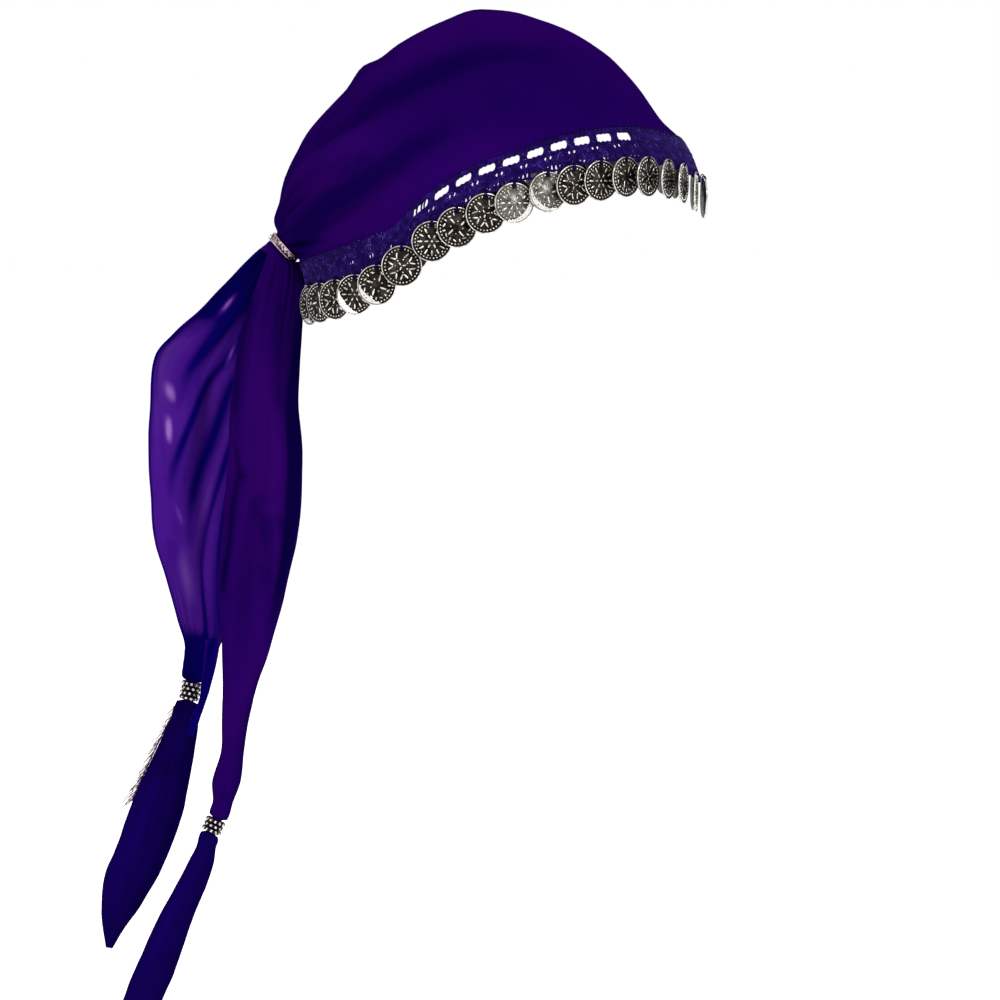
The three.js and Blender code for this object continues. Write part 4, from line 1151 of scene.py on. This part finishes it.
rightTailRows = table(
    stripColumns,
    (-101.5, -119.4, -85.4, -119.8, 180, 8, 0.2), (-105, -128, -84.2, -130.6, 178, 10, 0.3),
    (-108.6, -138, -84.6, -140.8, 176, 12, 0.6),
    (-112.6, -150, -85.2, -154, 168, 14, 1.8), (-117.6, -184, -86.6, -184, 150, 14, 6),
    (-119, -213, -84.6, -213, 140, 12, 8), (-122.5, -251, -87.4, -251, 140, 10, 9),
    (-124, -270, -91.8, -270, 140, 9, 9), (-122, -301, -99.8, -301, 150, 7, 10),
    (-121.6, -318, -106, -318, 160, 5.5, 10.5), (-122, -337, -110.8, -337, 180, 4, 11.5),
    (-122.5, -351, -112.8, -351, 200, 3.6, 12), (-126.6, -365, -114.4, -365, 210, 4.6, 12),
    (-126.4, -374.6, -118.2, -375.4, 250, 3, 12.4), (-128, -380.6, -121, -383.8, 240, 2.6, 12.5),
)

leftTailRows = table(
    stripColumns,
    (-106.5, -115, -91.5, -126.5, 180, 9, 0.2), (-121, -129.5, -95, -146.5, 176, 13, 0.8),
    (-132, -141, -99, -161, 168, 16, 2.5), (-144.6, -152.6, -103.6, -176, 160, 18, 5),
    (-154.4, -163.5, -107, -189, 150, 18, 8), (-156.6, -184.5, -110.5, -208, 140, 16, 10),
    (-158, -208, -114.3, -232, 135, 14, 12), (-157, -232, -118, -251, 135, 12, 13),
    (-155, -253.6, -120.8, -270, 140, 10, 14), (-149.5, -272, -122.6, -284.5, 150, 8, 15),
    (-144.6, -289.5, -123.4, -297.5, 160, 6, 16), (-141, -302, -127, -307, 180, 4.4, 16.5),
    (-142, -313.6, -132.4, -315.2, 230, 3.4, 17), (-142.2, -318.5, -133.3, -320.6, 220, 3, 17.2),
)

rightEndRows = table(
    stripColumns,
    (-132.2, -389.6, -125.2, -392.6, 230, 2.5, 12.6), (-134.4, -396.6, -126.4, -397.6, 210, 2.8, 12.7),
    (-138, -403.5, -127.4, -404.5, 170, 3, 13),
    (-143, -413, -130.5, -414, 140, 3.4, 13), (-153.3, -432, -138, -433, 130, 4, 12.5),
    (-162, -451, -144.8, -452.5, 130, 4, 12), (-168.5, -467, -151, -468, 130, 3.4, 12),
    (-172.4, -480, -159, -483, 130, 2.4, 12), (-170.5, -491, -167.5, -491.5, 130, 0.8, 12.5),
)

leftEndRows = table(
    stripColumns,
    (-144.9, -330, -135.8, -332, 220, 2.6, 18), (-147, -337, -136.2, -338.2, 190, 3, 18.5),
    (-150, -343, -136.2, -344, 160, 3.4, 18.6),
    (-156.8, -357, -138.4, -357, 140, 5, 18), (-165.6, -376.5, -142.4, -380.5, 130, 6, 17),
    (-170.4, -389, -146.8, -394, 130, 6, 16.5), (-175.2, -402.5, -153.4, -410, 130, 5.4, 16),
    (-180.4, -416, -162.6, -427, 130, 4, 16), (-181.5, -433, -172.5, -441, 130, 2, 16),
    (-179.5, -449, -177.5, -449.5, 130, 0.6, 16),
)

looseEdgeRows = table(
    stripColumns,
    (-131, -300, -124.6, -299, 90, 0.8, 13.2), (-132, -312, -126.6, -311, 90, 0.8, 13.2),
    (-133.2, -321, -129, -320.5, 90, 0.8, 14), (-134.4, -329.5, -131.4, -328.6, 90, 0.7, 14.4),
    (-138.2, -337.4, -134.2, -336.6, 90, 0.6, 14.8), (-139.6, -344, -136.6, -343.4, 90, 0.4, 15),
    (-139.8, -347, -138.4, -346.8, 90, 0.3, 15.2),
)

foldColumns = "across down endAcross endDown depth width"

rightTailFolds = table(
    foldColumns,
    (0.3, 0.04, 0.2, 0.95, 2.2, 4.2), (0.48, 0.04, 0.38, 0.8, -3, 4.4), (0.62, 0.06, 0.6, 0.92, 3, 5.2),
    (0.8, 0.08, 0.84, 0.78, -2.8, 4), (0.12, 0.42, 0.3, 0.7, -1.8, 4), (0.55, 0.1, 0.5, 0.6, -0.8, 1.6),
    (0.9, 0.3, 0.72, 0.7, 0.8, 1.8), (0.05, 0.2, 0.22, 0.56, 0.8, 1.8),
)

leftTailFolds = table(
    foldColumns,
    (0.2, 0.03, 0.1, 0.6, 2.4, 4.4), (0.36, 0.04, 0.42, 0.5, -3, 4.6), (0.5, 0.05, 0.62, 0.92, 2.8, 5),
    (0.66, 0.06, 0.24, 0.76, -2.6, 4.2), (0.82, 0.08, 0.86, 0.84, -2.6, 4), (0.3, 0.1, 0.18, 0.5, 1, 1.6),
    (0.46, 0.08, 0.5, 0.46, -0.9, 1.5), (0.72, 0.3, 0.5, 0.9, 0.9, 2), (0.08, 0.3, 0.2, 0.6, -0.8, 2.2),
    (0.9, 0.2, 0.7, 0.7, 0.9, 1.8),
)

endFolds = table(
    foldColumns,
    (0.25, 0.02, 0.3, 0.9, 1.4, 2.2), (0.55, 0.04, 0.5, 0.95, -1.6, 2.4), (0.8, 0.02, 0.78, 0.8, 1.3, 2.2),
    (0.4, 0.1, 0.42, 0.7, 0.6, 1), (0.7, 0.05, 0.66, 0.6, -0.6, 1),
)


# Painted shade (below zero) and painted highlights in the tails' cloth. On the sheer left tail a dark streak
# is partly the real darker look of cloth lying doubled, partly painted shade of its fold.
rightTailShades = table(
    foldColumns,
    (0.96, 0, 0.9, 0.7, -0.95, 4), (0.8, 0.02, 0.82, 0.62, -0.55, 5), (0.42, 0.03, 0.5, 0.62, 0.55, 5),
    (0.55, 0.06, 0.66, 0.3, -0.5, 2.6), (0.62, 0.05, 0.78, 0.24, 0.3, 2), (0.17, 0.33, 0.3, 0.4, -0.6, 2.6),
    (0.27, 0.36, 0.1, 0.62, -0.9, 3), (0.5, 0.44, 0.68, 0.58, -0.5, 3), (0.6, 0.42, 0.74, 0.56, 0.25, 1.4),
    (0.1, 0.06, 0.16, 0.3, -0.6, 4), (0.9, 0.7, 0.8, 0.98, -0.6, 2.6),
    (0.02, 0.6, 0.06, 0.98, -0.5, 1.6),
)

leftTailShades = table(
    foldColumns,
    (0.01, 0.24, 0.01, 1, -0.9, 1.4), (0.3, 0.11, 0.28, 0.2, 2.2, 1.3), (0.85, 0.02, 0.82, 1, -0.95, 6),
    (0.54, 0.2, 0.57, 0.29, 1.5, 0.9),
    (0.22, 0.36, 0.26, 0.41, 0.9, 2.4), (0.23, 0.43, 0.25, 0.5, 1.7, 1.5), (0.3, 0.6, 0.4, 0.66, 0.3, 2),
    (0.4, 0.68, 0.38, 0.84, 0.25, 3), (0.3, 0.86, 0.4, 1.1, -1, 9), (0.6, 0.86, 0.6, 1.1, -1, 9),
    (0.64, 0.85, 0.66, 0.96, 0.9, 0.8),
)

# Painted shade along the left tail's long dark folds, each by where its middle lies across the cloth on the
# way down.
pathColumns = "down across depth width"

leftTailPaths = [
    table(
        pathColumns, (0.02, 0.08, -1, 9), (0.15, 0.08, -1, 8.5), (0.2, 0.1, -1, 8), (0.235, 0.1, -1, 7),
        (0.265, 0.05, -1, 5.6), (0.3, 0.01, -1, 4), (0.34, 0, -0.9, 2.8), (0.4, 0, -0.4, 1.8),
        (0.46, 0, 0, 1.2),
    ),
    table(pathColumns, (0.02, 0.25, -1, 6), (0.13, 0.22, -1, 5), (0.19, 0.21, -0.9, 4.4), (0.225, 0.2, 0, 3)),
    table(
        pathColumns, (0.02, 0.42, -1, 8), (0.12, 0.42, -1, 6.5), (0.18, 0.38, -1, 4.6), (0.25, 0.37, -1, 3.4),
        (0.31, 0.36, -0.75, 2.8), (0.37, 0.33, -0.35, 2.4), (0.43, 0.3, 0, 2),
    ),
    table(
        pathColumns, (0.08, 0.56, -0.6, 4), (0.16, 0.57, -1, 3), (0.25, 0.55, -1, 2.4), (0.3, 0.53, -1, 1.9),
        (0.38, 0.46, -1, 1.7), (0.44, 0.4, -1, 1.8), (0.5, 0.34, -0.9, 2.4), (0.56, 0.28, -0.6, 2.4),
        (0.62, 0.25, 0, 1.6),
    ),
    table(
        pathColumns, (0.1, 0.66, -0.8, 5), (0.22, 0.68, -1, 4.6), (0.3, 0.67, -1, 3.4),
        (0.37, 0.64, -1.1, 3.8), (0.45, 0.58, -1.15, 4.2), (0.52, 0.52, -1.1, 3.8),
        (0.58, 0.48, -1, 3.2), (0.64, 0.46, -0.5, 2.4), (0.7, 0.46, 0, 1.5),
    ),
    table(
        pathColumns, (0.4, 0.78, -0.6, 2), (0.48, 0.72, -0.95, 2.2), (0.56, 0.67, -0.95, 1.9),
        (0.64, 0.61, -0.9, 1.6), (0.72, 0.58, -0.95, 1.3), (0.84, 0.57, -1, 1.3), (0.95, 0.57, -1, 2),
    ),
]

rightEndShades = table(foldColumns, (0.8, 0, 0.85, 1, -0.5, 3), (0.3, 0.1, 0.35, 0.8, 0.3, 3))

leftEndShades = table(foldColumns, (0.86, 0, 0.86, 1, -0.75, 4), (0.3, 0.15, 0.26, 0.95, 0.6, 5))

looseEdgeShades = table(foldColumns, (0.5, -0.2, 0.5, 1.2, -1.2, 6))


def cuffAcross(place):
    return Vector((cosine(place["lean"]), 0, sine(place["lean"])))


def cuffAxis(place):
    return Matrix.Rotation(math.pi / 2, 3, "Y") @ cuffAcross(place)


def cuffHalf(place):
    return place["rows"] * cuff["rowHeight"] / 2


# The round section where cloth is gathered into the ring or a cuff.
def gatheredRow(centre, across, radius, bend, side):
    back, front = centre - across * radius, centre + across * radius
    return table(stripColumns, (back.x, back.z, front.x, front.z, bend, radius, centre.y * side))[0]


# The open rows, each with a little cloth turned in for a hem at both edges.
def openRows(rows):
    reach = strip["hemReach"]
    return [{**row, "backX": row["backX"] - reach, "frontX": row["frontX"] + reach} for row in rows]


# Marks each row with how far down the cloth it is.
def sectionTable(rows):
    middles = [Vector((row["backX"] + row["frontX"], row["backZ"] + row["frontZ"])) / 2 for row in rows]
    lengths = [0]
    for first, second in zip(middles, middles[1:]):
        lengths.append(lengths[-1] + (second - first).length)
    return [{**row, "down": length / lengths[-1]} for row, length in zip(rows, lengths)], lengths[-1]


def stripPoint(rows, side, across, down):
    backX, backZ, frontX, frontZ, bend, swell, away = (
        readTable(rows, "down", column, down) for column in stripColumns.split()
    )
    halfBend = math.radians(min(bend, 180)) / 2
    angle = (across - 0.5) * math.radians(bend)
    reach = (1 + math.sin(angle) / math.sin(halfBend)) / 2
    bulge = (math.cos(angle) - math.cos(halfBend)) / (1 - math.cos(halfBend))
    return Vector((mix(backX, frontX, reach), side * (away + swell * bulge), mix(backZ, frontZ, reach)))


def stripWidth(rows, down):
    return math.hypot(
        readTable(rows, "down", "frontX", down) - readTable(rows, "down", "backX", down),
        readTable(rows, "down", "frontZ", down) - readTable(rows, "down", "backZ", down),
    )


def strokeSum(strokes, across, down, width, ease, lightEase=None):
    total = 0.0
    for stroke in strokes:
        part = (down - stroke["down"]) / (stroke["endDown"] - stroke["down"])
        if 0 < part < 1:
            middle = mix(stroke["across"], stroke["endAcross"], part)
            ramp = lightEase if lightEase and stroke["depth"] > 0 else ease
            taper = smooth(min(part, 1 - part) / ramp)
            distance = (across - middle) * width * strip["foldSpread"]
            total += stroke["depth"] * bell(distance, stroke["width"]) * taper
    return total


def pathSum(paths, across, down, width):
    total = 0.0
    for path in paths:
        if path[0]["down"] < down < path[-1]["down"]:
            middle, depth, breadth = (readTable(path, "down", key, down) for key in pathColumns.split()[1:])
            total += depth * bell((across - middle) * width * strip["foldSpread"], breadth)
    return total


# Gathers that run out of the ring and the cuffs, uneven, and soon fade.
def stripGather(across, down, ends):
    wander = noise.noise(Vector((across * 4, down * 9, 1.7)))
    wave = math.cos(2 * math.pi * strip["gathers"] * across + 1.2 * math.sin(9 * across) + 2.6 * wander)
    strength = 0.55 + 0.9 * noise.noise(Vector((across * 7, down * 3, 6.1)))
    return wave, strength * sum(nearness(down) for nearness in ends)


def makeStrip(name, rows, side, folds, shades, columns, count, look, node, ends, paths=()):
    sections, length = sectionTable(rows)
    fine = 0.003

    def rule(column, row):
        across, down = column / columns, row / count
        point = stripPoint(sections, side, across, down)
        along = stripPoint(sections, side, min(across + fine, 1), down)
        along -= stripPoint(sections, side, max(across - fine, 0), down)
        below = stripPoint(sections, side, across, min(down + fine, 1))
        below -= stripPoint(sections, side, across, max(down - fine, 0))
        outward = along.cross(below).normalized() * side
        width = stripWidth(sections, down)
        room = smooth((width - strip["roomFrom"]) / strip["roomSpan"])
        wave, strength = stripGather(across, down, ends)
        folded = strokeSum(folds, across, down, width, 0.4)
        ripple = noise.noise(Vector((across * 5, down * 14, len(folds) * 3.7)))
        lift = (folded + strip["ripple"] * ripple) * room
        lift += strip["gatherHeight"] * wave * strength * smooth((width - 8) / 10) * room
        if width < 14:
            lift += strip["neckRipple"] * wave
        # Painted shade from the folds: darker in troughs, a little lighter on ridges, and darker between
        # gathers.
        relief = folded * room / strip["shadeDepth"]
        shade = strokeSum(shades, across, down, width, 0.2, 0.5) + pathSum(paths, across, down, width)
        shade += relief if relief < 0 else 0.3 * relief
        return point + outward * lift, shade + strip["gatherShade"] * wave * strength

    shape = clothGrid(columns, count, rule, 0.06, length * metre)
    area = sheetArea(shape)
    piece = finishPiece(name, shape, [look], [node], strip["wall"])
    return sections


# The two rows inside a cuff, on the way out of it: above it (-1) or below it (1).
def cuffRows(place, way, side):
    distances = (seamGap / 2, cuffHalf(place) + strip["straight"])
    return [
        gatheredRow(
            place["centre"] + cuffAxis(place) * (way * distance), cuffAcross(place), gatherRadius, 300, side,
        )
        for distance in distances
    ]


def tailRows(rows, place, side):
    top = ring["centre"] + ring["axis"] * (ring["width"] / 2 + 2 * seamGap)
    top.y = side * seamGap / 2
    starts = (top, top + ring["axis"] * strip["straight"])
    neck = [gatheredRow(start, -ring["up"], neckRadius, 180, side) for start in starts]
    return [*neck, *openRows(rows), *reversed(cuffRows(place, -1, side))]


def endRows(rows, place, side):
    return [*cuffRows(place, 1, side), *openRows(rows)]


def nearTop(down):
    return (1 - smooth(down / strip["gatherReach"])) * smooth(down / 0.03)


def nearFoot(down):
    return (1 - smooth((1 - down) / strip["gatherReach"])) * smooth((1 - down) / 0.03)


makeStrip(
    "tailRightPiece", tailRows(rightTailRows, rightCuff, -1), -1, rightTailFolds, rightTailShades, 90, 230,
    tailLook, "tail_right", (nearTop, nearFoot),
)
makeStrip(
    "tailLeftPiece", tailRows(leftTailRows, leftCuff, 1), 1, leftTailFolds, leftTailShades, 110, 210,
    sheerLook, "tail_left", (nearTop, nearFoot), leftTailPaths,
)
makeStrip(
    "tailEndRightPiece", endRows(rightEndRows, rightCuff, -1), -1, endFolds, rightEndShades, 50, 120, endLook,
    "tail_end_right", (nearTop,),
)
leftEnd = makeStrip(
    "tailEndLeftPiece", endRows(leftEndRows, leftCuff, 1), 1, endFolds, leftEndShades, 54, 130, endLook,
    "tail_end_left", (nearTop,),
)
makeStrip(
    "tailEdgeLeftPiece", openRows(looseEdgeRows), 1, [], looseEdgeShades, 12, 50, sheerLook,
    "tail_edge_left", (),
)
print("tails made")


# Dark beads strung in rows; their outward faces are painted bright as a glint.
def makeCuff(name, place, node):
    shape = bmesh.new()
    ringRadius = cuff["outer"] - cuff["bead"]
    half = cuffHalf(place)
    heights = [(row + 0.5) * cuff["rowHeight"] - half for row in range(place["rows"])]
    for row, height in enumerate(heights):
        # each row's beads sit between those of the row before
        for number in range(cuff["beads"]):
            angle = 360 * (number + 0.5 * (row % 2)) / cuff["beads"]
            outward = Vector((cosine(angle), sine(angle), 0))
            size = cuff["bead"] * random.uniform(0.95, 1.03)
            spot = Matrix.Translation(outward * ringRadius + Vector((0, 0, height)))
            squashed = spot @ Matrix.Diagonal((1, 1, cuff["squash"], 1))
            made = bmesh.ops.create_icosphere(shape, subdivisions=2, radius=size, matrix=squashed)
            # faces that look straight out get the painted glint
            for face in facesOf(made):
                face.normal_update()
                face.material_index = 0 if face.normal.dot(outward) > cuff["glintFrom"] else 1
    bmesh.ops.scale(shape, vec=(metre, metre, metre), verts=shape.verts)
    within = ringRadius - 0.2
    circles = [
        [Vector((within * cosine(15 * step), within * sine(15 * step), height)) for step in range(24)]
        for height in heights
    ]
    addThreads(shape, circles, cuff["thread"], closed=True, look=2)
    turn = cuffAxis(place).to_track_quat("Z", "Y").to_matrix().to_4x4()
    bmesh.ops.transform(shape, matrix=Matrix.Translation(place["centre"] * metre) @ turn, verts=shape.verts)
    finishPiece(name, shape, [beadGlintLook, beadDarkLook, threadLook], [node])


makeCuff("cuffRightPiece", rightCuff, "cuff_right")
makeCuff("cuffLeftPiece", leftCuff, "cuff_left")


fringe = {
    "strands": 62, "from": 0.065, "to": 0.44, "offset": 0.55, "length": (5, 10.5), "fall": 41, "curl": 0.25,
    "strand": 0.15, "rootStrand": 0.3,
}


def makeFringe():
    shape = bmesh.new()
    roots, lines = [], []

    def edgeAt(down):
        return stripPoint(leftEnd, 1, 0, down)

    def rootAt(down):
        along = (edgeAt(down + 0.01) - edgeAt(down - 0.01)).normalized()
        outward = Vector((along.z, 0, -along.x)).normalized()
        if outward.x > 0:
            outward.negate()
        return edgeAt(down) + outward * fringe["offset"]

    steps = 60
    for phase in (0, math.pi):
        line = []
        for step in range(steps + 1):
            spot = rootAt(mix(fringe["from"], fringe["to"], step / steps))
            line.append(spot + Vector((0.12 * math.cos(step + phase), 0.3 * math.sin(step + phase), 0)))
        roots.append(line)
    for strand in range(fringe["strands"]):
        share = (strand + random.uniform(0.1, 0.9)) / fringe["strands"]
        root = rootAt(mix(fringe["from"], fringe["to"], share))
        length = mix(*fringe["length"], share) * random.uniform(0.6, 1.05)
        fall = fringe["fall"] + random.uniform(-5, 8)
        sideways = random.uniform(-1.2, 1.2)
        line = []
        for step in range(6):
            part = step / 5
            bend, reach = fall + 3 * part, length * part
            curl = fringe["curl"] * math.sin(5 * part + strand)
            line.append(root + Vector((-reach * cosine(bend), sideways * part + curl, -reach * sine(bend))))
        lines.append(line)
    addThreads(shape, roots, fringe["rootStrand"], look=1)
    addThreads(shape, [line for number, line in enumerate(lines) if number % 3], fringe["strand"], sides=4)
    addThreads(shape, lines[::3], fringe["strand"], sides=4, look=1)
    finishPiece("fringePiece", shape, [tinselLook, tinselDarkLook], ["fringe_left"])


makeFringe()
print("cuffs and fringe made")
